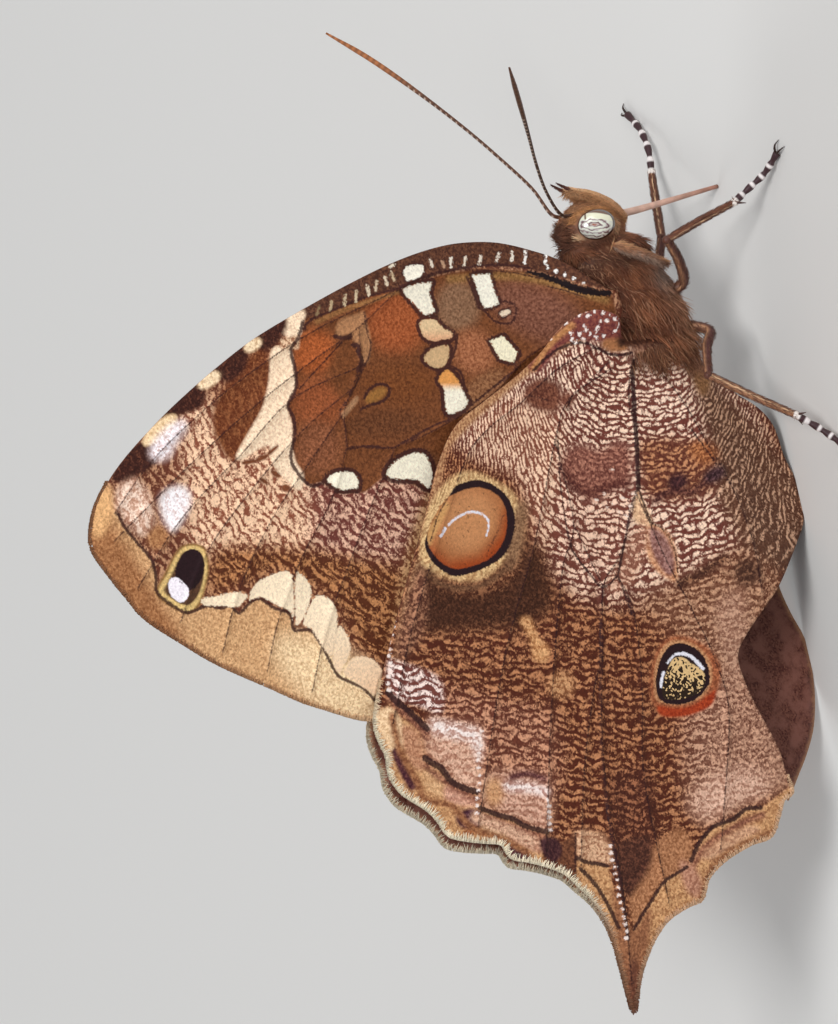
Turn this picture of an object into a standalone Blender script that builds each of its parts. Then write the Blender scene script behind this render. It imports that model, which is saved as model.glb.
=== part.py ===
# Opoptera butterfly at rest with its wings closed, life size, for a museum shelf.
# Body frame in millimetres: +X towards the head, +Y to the insect's left, +Z up from the floor.
import math

import bmesh
import bpy
import numpy as np
from mathutils import Matrix, Vector
from mathutils.geometry import delaunay_2d_cdt

MM = 0.001
GAP = 0.3

# Wings: one thickness for all four, and how far apart the closed sheets lie at their margins.
WING_THICKNESS = 0.5
VEIN_HEIGHT = 0.15
VEIN_HALF_WIDTH = 0.38
FOREWING_OFFSET = 0.42
HINDWING_STEP = 0.95
ROOT_FLARE = 2.6
ROOT_CENTRE = (0.3, 12.2)
ROOT_SPREAD = 4.2
BELLY_FLARE = 1.65
BELLY_SPREAD_UP = 5.5
BELLY_SPREAD_DOWN = 3.6
FOREWING_STEP = 2.6
VEIN_STEP = 2.6
FILL_STEP = 3.0
LEFT_FOREWING_DROP = 0.5
LEFT_HINDWING_TURN = math.radians(2.2)
HINGE = (-3.0, 11.0)

# Thorax and abdomen: x of each section, height of its centre, half width and half height.
THORAX = [
    (3.9, 10.4, 1.5, 2.1),
    (3.3, 10.4, 2.2, 3.0),
    (2.2, 10.1, 2.8, 3.8),
    (0.5, 9.7, 3.15, 4.4),
    (-1.2, 9.5, 3.2, 4.6),
    (-3.0, 9.3, 3.0, 4.4),
    (-4.4, 9.0, 2.6, 3.7),
    (-5.4, 8.7, 2.2, 3.0),
    (-5.9, 8.5, 1.95, 2.5),
]
ABDOMEN_START = -5.9 - GAP
ABDOMEN_LENGTH = 15.8
ABDOMEN_SEGMENTS = 7
ABDOMEN_HEIGHTS = (8.4, 4.8)
ABDOMEN_RADIUS = 2.25

# Head: an ellipsoid cut flat at the neck, with a socket for each eye.
HEAD_CENTRE = (5.6, 0.0, 10.9)
HEAD_RADII = (2.1, 2.0, 2.5)
NECK_X = 3.9 + GAP
EYE_CENTRE = (5.65, 1.6, 11.2)
EYE_RADII = (1.05, 0.92, 1.4)

# Forewing outline: leading edge from the root, outer edge from the apex, trailing edge back.
FOREWING_COSTA = [
    (0.9, 10.4), (1.2, 12.2), (3.5, 14.2), (4.7, 15.9), (5.8, 18.4), (6.3, 21.2), (6.3, 23.8),
    (5.9, 26.8), (5.1, 30.4), (4.0, 34.5), (2.8, 38.4), (1.3, 41.9), (-0.4, 45.3), (-1.8, 47.7),
    (-3.1, 49.7), (-4.4, 51.3), (-5.9, 52.6), (-7.6, 53.4),
]
FOREWING_OUTER = [
    (-8.7, 53.4), (-10.2, 52.7), (-12.0, 51.7), (-13.6, 50.7), (-15.6, 48.5), (-17.5, 46.2),
    (-19.6, 43.0), (-21.1, 40.7), (-22.1, 38.8), (-23.0, 37.0), (-23.4, 35.7),
]
FOREWING_INNER = [
    (-23.2, 34.8), (-19.5, 31.2), (-14.6, 25.9), (-10.3, 20.8), (-6.7, 16.8), (-3.8, 13.6),
    (-2.6, 12.0), (-2.0, 10.2),
]
FOREWING_VEINS = [
    [(0.7, 12.4), (2.3, 15.2), (3.9, 18.9), (4.7, 23.9), (3.8, 28.2), (2.5, 34.0), (0.7, 39.2),
     (-1.2, 43.5), (-3.7, 48.0), (-6.6, 51.6)],
    [(4.2, 26.7), (2.2, 30.4), (0.6, 34.5), (-1.4, 39.2), (-4.2, 44.8), (-8.4, 52.2)],
    [(2.2, 30.4), (-0.4, 31.1), (-3.1, 32.9), (-5.4, 33.3)],
    [(-0.4, 31.1), (-1.6, 36.6), (-4.4, 41.2), (-7.7, 46.6), (-11.6, 51.0)],
    [(-1.7, 31.9), (-3.8, 36.4), (-6.9, 41.1), (-10.4, 45.5), (-14.6, 48.6)],
    [(-3.1, 32.9), (-5.8, 36.2), (-9.1, 40.1), (-13.1, 43.6), (-17.0, 45.9)],
    [(-5.4, 33.3), (-8.7, 35.4), (-12.1, 38.6), (-15.6, 41.2), (-19.0, 43.0)],
    [(-6.1, 29.7), (-8.6, 31.7), (-12.8, 34.9), (-17.0, 37.9), (-20.9, 40.0)],
    [(-0.3, 12.8), (-2.1, 18.2), (-4.0, 21.3), (-5.2, 24.9), (-6.1, 29.7), (-5.4, 33.3)],
    [(-1.4, 13.4), (-4.8, 18.4), (-9.1, 24.2), (-13.6, 29.2), (-18.4, 33.0), (-22.2, 35.6)],
]

# Hindwing outline: leading edge with its shoulder lobe, scalloped outer edge with the tail,
# and the inner edge that hangs beside the abdomen to the floor.
HINDWING_COSTA = [
    (-1.8, 10.4), (-1.4, 12.2), (-0.6, 13.0), (0.0, 14.2), (-0.2, 15.5), (-0.9, 16.6), (-2.1, 17.9),
    (-3.2, 19.8), (-4.4, 22.6), (-5.6, 25.2), (-7.6, 27.0), (-9.9, 28.4), (-12.5, 29.9),
    (-15.2, 31.6), (-18.0, 33.3), (-21.0, 35.0), (-23.5, 36.1),
]
HINDWING_OUTER = [
    (-24.8, 36.1), (-26.0, 35.8), (-27.2, 35.9), (-28.4, 35.4), (-29.2, 34.6), (-30.1, 33.6),
    (-31.0, 33.0), (-32.0, 32.5), (-32.6, 31.2), (-33.0, 29.9), (-33.4, 28.7), (-34.4, 28.2),
    (-34.9, 27.0), (-35.5, 25.7), (-36.3, 24.4), (-37.3, 23.6), (-38.3, 22.8), (-39.5, 22.2),
    (-41.0, 21.8), (-43.4, 21.7), (-45.0, 21.7), (-46.3, 21.6), (-45.6, 21.2), (-44.1, 20.5),
    (-42.9, 19.6), (-41.8, 18.6), (-40.9, 17.3), (-40.4, 15.6), (-40.2, 14.5), (-38.9, 13.6),
    (-38.0, 12.0), (-37.4, 9.8), (-37.2, 8.1), (-36.1, 7.2), (-35.0, 6.5), (-34.7, 5.7),
    (-33.5, 5.8),
]
HINDWING_RIGHT_INNER = [
    (-32.0, 5.9), (-30.4, 6.4), (-28.6, 7.1), (-26.6, 7.7), (-24.8, 7.9), (-23.5, 7.0),
    (-22.2, 5.6), (-20.6, 3.7), (-18.3, 1.2), (-16.6, 0.0), (-14.2, 0.0), (-12.4, 0.5),
    (-10.2, 0.8), (-8.7, 1.8), (-7.4, 3.5), (-6.0, 5.2), (-4.4, 5.9), (-2.8, 6.0), (-1.6, 6.6),
]
HINDWING_LEFT_INNER = [
    (-35.4, 4.4), (-33.9, 3.2), (-32.4, 2.0), (-30.8, 1.0), (-28.8, 0.3), (-26.9, 0.0),
    (-24.9, 0.0), (-22.8, 0.6), (-20.6, 1.0), (-17.6, 0.9), (-14.2, 0.7), (-11.6, 0.8),
    (-9.6, 1.2), (-8.2, 2.4), (-7.1, 4.0), (-5.8, 5.3), (-4.4, 5.9), (-2.8, 6.0), (-1.6, 6.6),
]
HINDWING_VEINS = [
    [(-2.4, 14.4), (-3.3, 16.9), (-5.0, 20.0), (-6.3, 23.0), (-8.0, 25.2), (-12.8, 28.6),
     (-18.8, 32.4), (-24.0, 35.0)],
    [(-3.6, 11.9), (-6.2, 12.3), (-9.0, 12.3), (-12.6, 13.0), (-16.4, 15.1), (-18.3, 16.9),
     (-22.5, 18.0), (-25.6, 18.9), (-30.9, 20.0), (-38.7, 20.6), (-44.6, 21.3)],
    [(-4.0, 13.4), (-5.5, 16.5), (-8.0, 18.1), (-14.3, 21.3), (-21.5, 25.6), (-32.0, 30.4)],
    [(-8.0, 18.1), (-13.7, 18.1), (-16.8, 19.8), (-24.9, 22.7), (-34.8, 25.7)],
    [(-13.7, 18.1), (-18.3, 16.9)],
    [(-22.5, 18.0), (-25.5, 19.6), (-30.5, 21.6), (-36.6, 23.4)],
    [(-17.4, 15.9), (-19.3, 15.1), (-22.2, 15.1), (-26.3, 15.8), (-31.5, 17.0), (-40.0, 17.2)],
    [(-12.6, 13.0), (-17.5, 11.8), (-21.1, 10.7), (-24.8, 9.7), (-28.9, 9.5), (-37.6, 12.4)],
    [(-4.6, 10.0), (-7.1, 8.6), (-10.1, 7.5), (-13.5, 6.3), (-17.2, 5.6), (-21.0, 5.6)],
]

# Legs: joints of the thigh and shin, then the middle line of the foot down to the floor.
FOOT_REST = 0.2
LEGS = {
    "midleg_right": {
        "femur": [(0.2, -1.2, 6.6), (0.6, -2.1, 5.4), (2.2, -3.2, 6.4), (3.6, -4.0, 7.5)],
        "tibia": [(3.6, -4.0, 7.5), (4.4, -5.0, 5.2), (5.1, -6.0, 2.9)],
        "tarsus": [(5.1, -6.0, 2.9), (5.9, -6.6, 1.7), (6.6, -7.3, 0.8), (7.7, -8.4, FOOT_REST)],
    },
    "midleg_left": {
        "femur": [(0.2, 1.2, 6.4), (0.8, 2.0, 5.2), (2.4, 2.6, 4.4), (4.0, 3.2, 3.4)],
        "tibia": [(4.0, 3.2, 3.4), (6.4, 4.7, 2.3), (8.6, 6.0, 1.3)],
        "tarsus": [(8.6, 6.0, 1.3), (10.2, 6.4, 0.9), (11.7, 7.6, 0.45), (13.0, 9.2, FOOT_REST)],
    },
    "hindleg_right": {
        "femur": [(-2.0, -0.9, 6.4), (-2.9, -2.7, 5.0), (-4.0, -3.6, 6.0), (-5.9, -4.3, 6.8)],
        "tibia": [(-5.9, -4.3, 6.8), (-7.9, -5.8, 4.7), (-9.8, -7.2, 2.5)],
        "tarsus": [(-9.8, -7.2, 2.5), (-11.0, -7.8, 1.3), (-12.1, -8.6, 0.6), (-13.2, -9.7, FOOT_REST)],
    },
    "hindleg_left": {
        "femur": [(-2.0, 0.9, 6.4), (-2.9, 2.7, 5.0), (-4.1, 3.7, 5.9), (-6.1, 4.5, 6.4)],
        "tibia": [(-6.1, 4.5, 6.4), (-8.2, 6.1, 4.4), (-10.2, 7.7, 2.4)],
        "tarsus": [(-10.2, 7.7, 2.4), (-11.5, 8.5, 1.3), (-12.8, 9.5, 0.6), (-14.0, 10.7, FOOT_REST)],
    },
}
FEMUR_RADIUS = 0.4
TIBIA_RADIUS = 0.33
TARSUS_RADIUS = 0.26
TARSUS_SEGMENTS = 5
CLAW_LENGTH = 0.9
SPUR_LENGTH = 0.9

# Feelers, mouthparts and the small folded forelegs.
ANTENNA_RADIUS = 0.25
CLUB_RADIUS = 0.34
ANTENNA_RIGHT = [
    (6.6, -0.6, 12.0), (6.8, -0.7, 13.2), (8.4, -2.6, 15.1), (10.2, -5.4, 17.1), (12.4, -9.0, 19.4),
    (14.6, -12.7, 21.8), (16.4, -15.6, 23.7),
]
ANTENNA_LEFT = [
    (6.6, 0.6, 12.0), (7.0, 0.7, 13.1), (9.0, 1.6, 13.6), (11.4, 3.4, 14.4), (14.0, 5.3, 15.5),
    (17.2, 7.9, 17.0), (20.2, 10.2, 18.8), (22.6, 12.3, 20.5),
]
PALP_PATH = [
    (6.6, 0.95, 8.2), (7.5, 0.8, 8.8), (8.2, 0.65, 9.9), (8.5, 0.55, 11.0), (8.6, 0.5, 11.8),
    (8.95, 0.42, 12.8),
]
PALP_RADII = [0.32, 0.42, 0.44, 0.4, 0.32, 0.13]
PROBOSCIS_PATH = [(6.1, 0.0, 9.2), (6.1, 0.0, 7.4), (6.2, 0.0, 5.6), (6.4, 0.05, 2.8), (6.6, 0.1, 0.0)]
PROBOSCIS_RADIUS = 0.26
FORELEG_PATH = [(4.1, 2.3, 10.7), (3.5, 2.8, 9.8), (2.9, 3.0, 8.8), (2.4, 2.95, 7.8), (2.2, 2.8, 7.3)]
FORELEG_RADII = [0.35, 0.5, 0.52, 0.42, 0.25]


def material(name, colour, roughness):
    made = bpy.data.materials.new(name)
    made.use_nodes = True
    shader = made.node_tree.nodes["Principled BSDF"]
    shader.inputs["Base Color"].default_value = (*colour, 1.0)
    shader.inputs["Roughness"].default_value = roughness
    made.diffuse_color = (*colour, 1.0)
    return made


def add_object(name, build, finish=None):
    """An object in metres from a bmesh in millimetres."""
    bmesh.ops.recalc_face_normals(build, faces=build.faces)
    bmesh.ops.scale(build, vec=(MM, MM, MM), verts=build.verts)
    mesh = bpy.data.meshes.new(name)
    build.to_mesh(mesh)
    build.free()
    made = bpy.data.objects.new(name, mesh)
    bpy.context.scene.collection.objects.link(made)
    if finish:
        mesh.materials.append(finish)
    return made


def curve_through(points, step):
    """Points about one step apart on a smooth curve through the given ones."""
    fixed = [np.array(p, float) for p in points]
    ends = [2 * fixed[0] - fixed[1]] + fixed + [2 * fixed[-1] - fixed[-2]]
    path = []
    for before, start, end, after in zip(ends, ends[1:], ends[2:], ends[3:]):
        count = max(1, round(np.linalg.norm(end - start) / step))
        for i in range(count):
            t = i / count
            path.append(0.5 * (
                2 * start + (end - before) * t
                + (2 * before - 5 * start + 4 * end - after) * t * t
                + (3 * start - before - 3 * end + after) * t ** 3
            ))
    path.append(fixed[-1])
    return path


def add_rings(build, rings):
    """Skin over a row of closed rings, with a flat cap at each end."""
    rows = [[build.verts.new(tuple(p)) for p in ring] for ring in rings]
    for row, following in zip(rows, rows[1:]):
        for i, corner in enumerate(row):
            j = (i + 1) % len(row)
            build.faces.new((corner, row[j], following[j], following[i]))
    build.faces.new(rows[0])
    build.faces.new(rows[-1])


def tube_mesh(points, radii, sides=8, step=0.8, flat=1.0):
    """Round bar along a smooth curve; its radius runs evenly between the given ones."""
    path = curve_through(points, step)
    lengths = np.cumsum([0.0] + [np.linalg.norm(b - a) for a, b in zip(path, path[1:])])
    stations = np.linspace(0.0, lengths[-1], len(radii))
    widths = np.interp(lengths, stations, radii)
    tangents = np.gradient(np.array(path), axis=0)
    across = Vector((0.0, 0.0, 1.0)).cross(Vector(tangents[0]))
    if across.length < 1e-3:
        across = Vector((0.0, 1.0, 0.0))
    rings = []
    for centre, tangent, radius in zip(path, tangents, widths):
        along = Vector(tangent).normalized()
        across = (across - along * across.dot(along)).normalized()
        lift = along.cross(across)
        ring = []
        for i in range(sides):
            turn = 2 * math.pi * (i + 0.5) / sides
            offset = across * (math.cos(turn) * radius * flat) + lift * (math.sin(turn) * radius)
            point = Vector(centre) + offset
            point.z = max(point.z, 0.0)
            ring.append(point)
        rings.append(ring)
    build = bmesh.new()
    add_rings(build, rings)
    return build


def lofted(sections, sides, grow=0.0):
    """Body of oval sections along X, each wider by grow on every side."""
    first, last = sections[0], sections[-1]
    rings = []
    if grow:
        sections = [(first[0] + grow, *first[1:])] + sections + [(last[0] - grow, *last[1:])]
    for x, height, half_width, half_height in sections:
        ring = []
        for i in range(sides):
            turn = 2 * math.pi * i / sides
            y = math.cos(turn) * (half_width + grow)
            ring.append((x, y, height + math.sin(turn) * (half_height + grow)))
        rings.append(ring)
    build = bmesh.new()
    add_rings(build, rings)
    return build


def ellipsoid(centre, radii, segments=20, rings=12):
    build = bmesh.new()
    bmesh.ops.create_uvsphere(build, u_segments=segments, v_segments=rings, radius=1.0)
    bmesh.ops.scale(build, vec=radii, verts=build.verts)
    bmesh.ops.translate(build, vec=centre, verts=build.verts)
    return build


def guide(made):
    """Marks a cutter, which isn't part of the insect."""
    made.hide_render = True
    made.display_type = "WIRE"
    return made


def evaluated(made):
    """The object's mesh with its modifiers worked in, in place of the modifiers."""
    bpy.context.view_layer.update()
    shape = bpy.data.meshes.new_from_object(made.evaluated_get(bpy.context.evaluated_depsgraph_get()))
    made.modifiers.clear()
    made.data = shape
    return made


def keep_largest(made):
    """Drops loose scraps that a cut or a union leaves."""
    build = bmesh.new()
    build.from_mesh(made.data)
    left = set(build.verts)
    groups = []
    while left:
        group = {left.pop()}
        edge = list(group)
        while edge:
            for link in edge.pop().link_edges:
                for end in link.verts:
                    if end in left:
                        left.remove(end)
                        group.add(end)
                        edge.append(end)
        groups.append(group)
    groups.sort(key=len)
    for group in groups[:-1]:
        bmesh.ops.delete(build, geom=list(group), context="VERTS")
    build.to_mesh(made.data)
    build.free()
    return made


def cut(made, *cutters):
    for cutter in cutters:
        boolean = made.modifiers.new("cut", "BOOLEAN")
        boolean.operation = "DIFFERENCE"
        boolean.solver = "EXACT"
        boolean.object = cutter
    return keep_largest(evaluated(made))


def joined(name, pieces, finish):
    """One closed body from overlapping closed pieces."""
    group = bpy.data.collections.new(name)
    for piece in pieces[1:]:
        group.objects.link(piece)
    boolean = pieces[0].modifiers.new("join", "BOOLEAN")
    boolean.operation = "UNION"
    boolean.solver = "EXACT"
    boolean.operand_type = "COLLECTION"
    boolean.collection = group
    body = keep_largest(evaluated(pieces[0]))
    for piece in pieces[1:]:
        bpy.data.objects.remove(piece)
    bpy.data.collections.remove(group)
    body.name = name
    body.data.materials.clear()
    body.data.materials.append(finish)
    return body


def smooth_step(low, high, value):
    t = min(1.0, max(0.0, (value - low) / (high - low)))
    return t * t * (3 - 2 * t)


def root_nearness(x, z, spread):
    distance = math.hypot(x - ROOT_CENTRE[0], z - ROOT_CENTRE[1])
    return math.exp(-((distance / spread) ** 2))


def abdomen_height(x):
    share = (ABDOMEN_START - x) / ABDOMEN_LENGTH
    return ABDOMEN_HEIGHTS[0] + (ABDOMEN_HEIGHTS[1] - ABDOMEN_HEIGHTS[0]) * share


def forewing_y(x, z):
    """Distance of the forewing's middle surface from the insect's middle plane."""
    dip = 1.4 * (1.0 - smooth_step(10.0, 11.9, z))
    return FOREWING_OFFSET + ROOT_FLARE * root_nearness(x, z, ROOT_SPREAD) - dip


def hindwing_y(x, z):
    """The hindwing lies outside the forewing and swells round the abdomen."""
    middle = abdomen_height(x)
    spread = BELLY_SPREAD_UP if z > middle else BELLY_SPREAD_DOWN
    belly = BELLY_FLARE * math.exp(-(((z - middle) / spread) ** 2))
    belly *= smooth_step(-34.0, -18.0, x) * (1.0 - 0.45 * root_nearness(x, z, 6.0))
    dip = 2.0 * smooth_step(-3.4, -1.8, x) * (1.0 - smooth_step(11.4, 13.0, z))
    over_forewing = FOREWING_OFFSET + ROOT_FLARE * root_nearness(x, z, ROOT_SPREAD)
    return over_forewing + HINDWING_STEP + belly - dip


def distance_to_path(point, path):
    nearest = 1e9
    for a, b in zip(path, path[1:]):
        run = b - a
        t = min(1.0, max(0.0, float(np.dot(point - a, run) / np.dot(run, run))))
        nearest = min(nearest, float(np.linalg.norm(point - a - run * t)))
    return nearest


def wing(name, side, outline, veins, depth, finish):
    """Thin curved sheet, alike on both faces, with its veins raised on the outer face."""
    veins = [curve_through(vein, VEIN_STEP) for vein in veins]
    edge = [np.array(p, float) for p in outline]
    points = list(edge)
    links = [(i, (i + 1) % len(edge)) for i in range(len(edge))]
    loop = edge + edge[:1]
    for vein in veins:
        ahead = np.gradient(np.array(vein), axis=0)
        for shift in (-VEIN_HALF_WIDTH, 0.0, VEIN_HALF_WIDTH):
            row = []
            for centre, run in zip(vein, ahead):
                across = np.array((-run[1], run[0])) / np.linalg.norm(run)
                row.append(centre + across * shift)
            links += [(len(points) + i, len(points) + i + 1) for i in range(len(row) - 1)]
            points += row
    low, high = np.min(edge, axis=0), np.max(edge, axis=0)
    for j, z in enumerate(np.arange(low[1], high[1], FILL_STEP * 0.87)):
        for x in np.arange(low[0] + (j % 2) * FILL_STEP / 2, high[0], FILL_STEP):
            spot = np.array((x, z))
            if distance_to_path(spot, loop) < 0.9:
                continue
            if min(distance_to_path(spot, vein) for vein in veins) > 1.3:
                points.append(spot)
    face = [list(range(len(edge)))]
    flat, _, triangles, *_ = delaunay_2d_cdt([Vector(p) for p in points], links, face, 1, 1e-5)

    build = bmesh.new()
    outer, inner = [], []
    for spot in flat:
        x, z = spot
        here = np.array((x, z))
        ridge = max(1.0 - distance_to_path(here, vein) / VEIN_HALF_WIDTH for vein in veins)
        slope_x = (depth(x + 0.05, z) - depth(x - 0.05, z)) / 0.1
        slope_z = (depth(x, z + 0.05) - depth(x, z - 0.05)) / 0.1
        normal = Vector((-slope_x, 1.0, -slope_z)).normalized()
        middle = Vector((x, depth(x, z), z))
        rows = (
            (outer, middle + normal * (WING_THICKNESS / 2 + VEIN_HEIGHT * max(0.0, ridge))),
            (inner, middle - normal * (WING_THICKNESS / 2)),
        )
        for row, point in rows:
            row.append(build.verts.new((point.x, side * point.y, max(point.z, 0.0))))
    used = {}
    for a, b, c in triangles:
        build.faces.new((outer[a], outer[b], outer[c]))
        build.faces.new((inner[a], inner[c], inner[b]))
        for pair in ((a, b), (b, c), (c, a)):
            key = tuple(sorted(pair))
            used[key] = used.get(key, 0) + 1
    for (a, b), count in used.items():
        if count == 1:
            build.faces.new((outer[a], outer[b], inner[b]))
            build.faces.new((outer[a], inner[b], inner[a]))
    loose = [v for v in build.verts if not v.link_faces]
    bmesh.ops.delete(build, geom=loose, context="VERTS")
    return add_object(name, build, finish)


def forewing_outline():
    costa = curve_through(FOREWING_COSTA, FOREWING_STEP)
    inner = curve_through(FOREWING_INNER, FOREWING_STEP)
    return costa + FOREWING_OUTER + inner


def hindwing_outline(inner, turn):
    front = curve_through(HINDWING_COSTA, FOREWING_STEP)
    swing = Matrix.Rotation(turn, 2)
    outer = []
    for x, z in HINDWING_OUTER:
        moved = swing @ Vector((x - HINGE[0], z - HINGE[1]))
        outer.append((moved.x + HINGE[0], moved.y + HINGE[1]))
    return front + outer + curve_through(inner, FOREWING_STEP)


def leg(name, joints, finish):
    """Thigh, shin, a foot of five segments, two spurs and two claws."""
    femur, tibia, tarsus = joints["femur"], joints["tibia"], joints["tarsus"]
    beads = [TARSUS_RADIUS - 0.04, TARSUS_RADIUS + 0.03, TARSUS_RADIUS + 0.05] * TARSUS_SEGMENTS
    pieces = [
        tube_mesh(femur, [0.5, FEMUR_RADIUS, FEMUR_RADIUS, 0.33]),
        ellipsoid(tibia[0], (0.38, 0.38, 0.38), 8, 6),
        tube_mesh(tibia, [0.31, TIBIA_RADIUS, 0.28]),
        ellipsoid(tarsus[0], (0.31, 0.31, 0.31), 8, 6),
        tube_mesh(tarsus, beads, 8, 0.36),
    ]
    toe = Vector(tarsus[-1])
    ahead = toe - Vector(tarsus[-2])
    ahead.z = 0.0
    ahead.normalize()
    aside = ahead.cross(Vector((0.0, 0.0, 1.0)))
    heel = Vector(tibia[-1])
    shin = (heel - Vector(tibia[-2])).normalized()
    for way in (-1.0, 1.0):
        start = toe - ahead * 0.2 + Vector((0.0, 0.0, 0.08))
        middle = toe + ahead * CLAW_LENGTH * 0.5 + aside * way * 0.3 + Vector((0.0, 0.0, 0.12))
        tip = toe + ahead * CLAW_LENGTH + aside * way * 0.4
        pieces.append(tube_mesh([start, middle, tip], [0.14, 0.13, 0.06], 6, 0.5))
        spur = heel + shin * SPUR_LENGTH * 0.7 + aside * way * SPUR_LENGTH * 0.6
        pieces.append(tube_mesh([heel, spur], [0.18, 0.06], 6, 0.5))
    parts = [add_object(f"{name}_{i}", piece) for i, piece in enumerate(pieces)]
    return joined(name, parts, finish)


def abdomen_sections():
    """Seven rings, each a little narrower where it joins the next."""
    sections = []
    steps = ABDOMEN_SEGMENTS * 3
    for i in range(steps + 1):
        share = i / steps
        x = ABDOMEN_START - ABDOMEN_LENGTH * share
        swell = 0.84 + 0.16 * math.sin(math.pi * min(1.0, share * 1.5 + 0.1))
        taper = math.sqrt(max(0.03, 1.0 - max(0.0, (share - 0.45) / 0.56) ** 2))
        pinch = 0.95 if i % 3 == 0 and 0 < i < steps else 1.0
        radius = ABDOMEN_RADIUS * swell * taper * pinch
        sections.append((x, abdomen_height(x), radius, radius * 1.05))
    return sections


def remove_start_objects():
    for old in list(bpy.data.objects):
        bpy.data.objects.remove(old)


def set_origin():
    """Puts the origin under the middle of the insect's box, on the floor."""
    solids = [o for o in bpy.context.scene.objects if o.type == "MESH" and not o.hide_render]
    corners = np.concatenate([
        np.array([tuple(v.co) for v in solid.data.vertices]) for solid in solids
    ])
    middle = (corners.min(axis=0) + corners.max(axis=0)) / 2
    for made in bpy.context.scene.objects:
        made.data.transform(Matrix.Translation((-middle[0], -middle[1], 0.0)))


def build_insect():
    remove_start_objects()
    fur = material("fur", (0.16, 0.075, 0.035), 0.85)
    eye_shell = material("eye_shell", (0.55, 0.5, 0.4), 0.15)
    horn = material("horn", (0.1, 0.045, 0.025), 0.45)
    tongue = material("tongue", (0.55, 0.36, 0.28), 0.5)
    scales_fore = material("forewing_scales", (0.3, 0.16, 0.08), 0.6)
    scales_hind = material("hindwing_scales", (0.22, 0.12, 0.08), 0.6)

    round_thorax = guide(add_object("guide_thorax", lofted(THORAX, 40, GAP)))
    head_core = ellipsoid(HEAD_CENTRE, tuple(r + GAP for r in HEAD_RADII), 32, 20)
    round_head = guide(add_object("guide_head", head_core))

    add_object("thorax", lofted(THORAX, 28), fur)
    add_object("abdomen", lofted(abdomen_sections(), 20), fur)

    head = add_object("head", ellipsoid(HEAD_CENTRE, HEAD_RADII, 24, 16), fur)
    slab = bmesh.new()
    bmesh.ops.create_cube(slab, size=10.0)
    bmesh.ops.translate(slab, vec=(NECK_X - 5.0, 0.0, HEAD_CENTRE[2]), verts=slab.verts)
    cutters = [guide(add_object("guide_neck", slab))]
    for side, way in (("right", -1.0), ("left", 1.0)):
        centre = (EYE_CENTRE[0], way * EYE_CENTRE[1], EYE_CENTRE[2])
        add_object(f"eye_{side}", ellipsoid(centre, EYE_RADII, 20, 14), eye_shell)
        socket = ellipsoid(centre, tuple(r + GAP for r in EYE_RADII), 24, 16)
        cutters.append(guide(add_object(f"guide_socket_{side}", socket)))
    cut(head, *cutters)

    for side, way in (("right", -1.0), ("left", 1.0)):
        path = [(x, way * y, z) for x, y, z in PALP_PATH]
        cut(add_object(f"palp_{side}", tube_mesh(path, PALP_RADII, 8, 0.5, 0.8), fur), round_head)
        path = [(x, way * y, z) for x, y, z in FORELEG_PATH]
        foreleg = add_object(f"foreleg_{side}", tube_mesh(path, FORELEG_RADII, 10, 0.6), fur)
        cut(foreleg, round_thorax, round_head)
    feeler = [ANTENNA_RADIUS] * 7 + [CLUB_RADIUS] * 3 + [0.15]
    for side, path in (("right", ANTENNA_RIGHT), ("left", ANTENNA_LEFT)):
        cut(add_object(f"antenna_{side}", tube_mesh(path, feeler, 8, 1.0), horn), round_head)
    tube = tube_mesh(PROBOSCIS_PATH, [PROBOSCIS_RADIUS, PROBOSCIS_RADIUS, 0.25], 8, 1.0)
    cut(add_object("proboscis", tube, tongue), round_head)

    for name, joints in LEGS.items():
        cut(leg(name, joints, horn), round_thorax)

    outline = forewing_outline()
    cut(wing("forewing_right", -1.0, outline, FOREWING_VEINS, forewing_y, scales_fore), round_thorax)
    lowered = [(x, z - LEFT_FOREWING_DROP) for x, z in outline]
    veins = [[(x, z - LEFT_FOREWING_DROP) for x, z in vein] for vein in FOREWING_VEINS]
    cut(wing("forewing_left", 1.0, lowered, veins, forewing_y, scales_fore), round_thorax)
    outline = hindwing_outline(HINDWING_RIGHT_INNER, 0.0)
    cut(wing("hindwing_right", -1.0, outline, HINDWING_VEINS, hindwing_y, scales_hind), round_thorax)
    outline = hindwing_outline(HINDWING_LEFT_INNER, LEFT_HINDWING_TURN)
    cut(wing("hindwing_left", 1.0, outline, HINDWING_VEINS, hindwing_y, scales_hind), round_thorax)
    set_origin()


build_insect()
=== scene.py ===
import math
import random

import bmesh
import bpy
import numpy as np
from mathutils import Matrix, Vector, kdtree
from mathutils.geometry import delaunay_2d_cdt


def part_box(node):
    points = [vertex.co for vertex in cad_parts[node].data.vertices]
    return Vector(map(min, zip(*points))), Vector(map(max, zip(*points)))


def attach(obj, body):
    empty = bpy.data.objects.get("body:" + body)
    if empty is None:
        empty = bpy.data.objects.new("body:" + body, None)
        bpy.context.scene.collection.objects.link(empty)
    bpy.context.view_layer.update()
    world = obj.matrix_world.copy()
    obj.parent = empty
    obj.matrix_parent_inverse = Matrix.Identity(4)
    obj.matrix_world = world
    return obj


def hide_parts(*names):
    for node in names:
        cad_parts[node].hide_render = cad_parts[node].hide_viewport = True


# The insect's frame. All sizes below are millimetres from the middle of its body on the floor,
# with +X to the head, +Y to its left and +Z up, as in the solids that this script dresses.
MM = 0.001
THORAX_FRONT = 3.9

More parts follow.
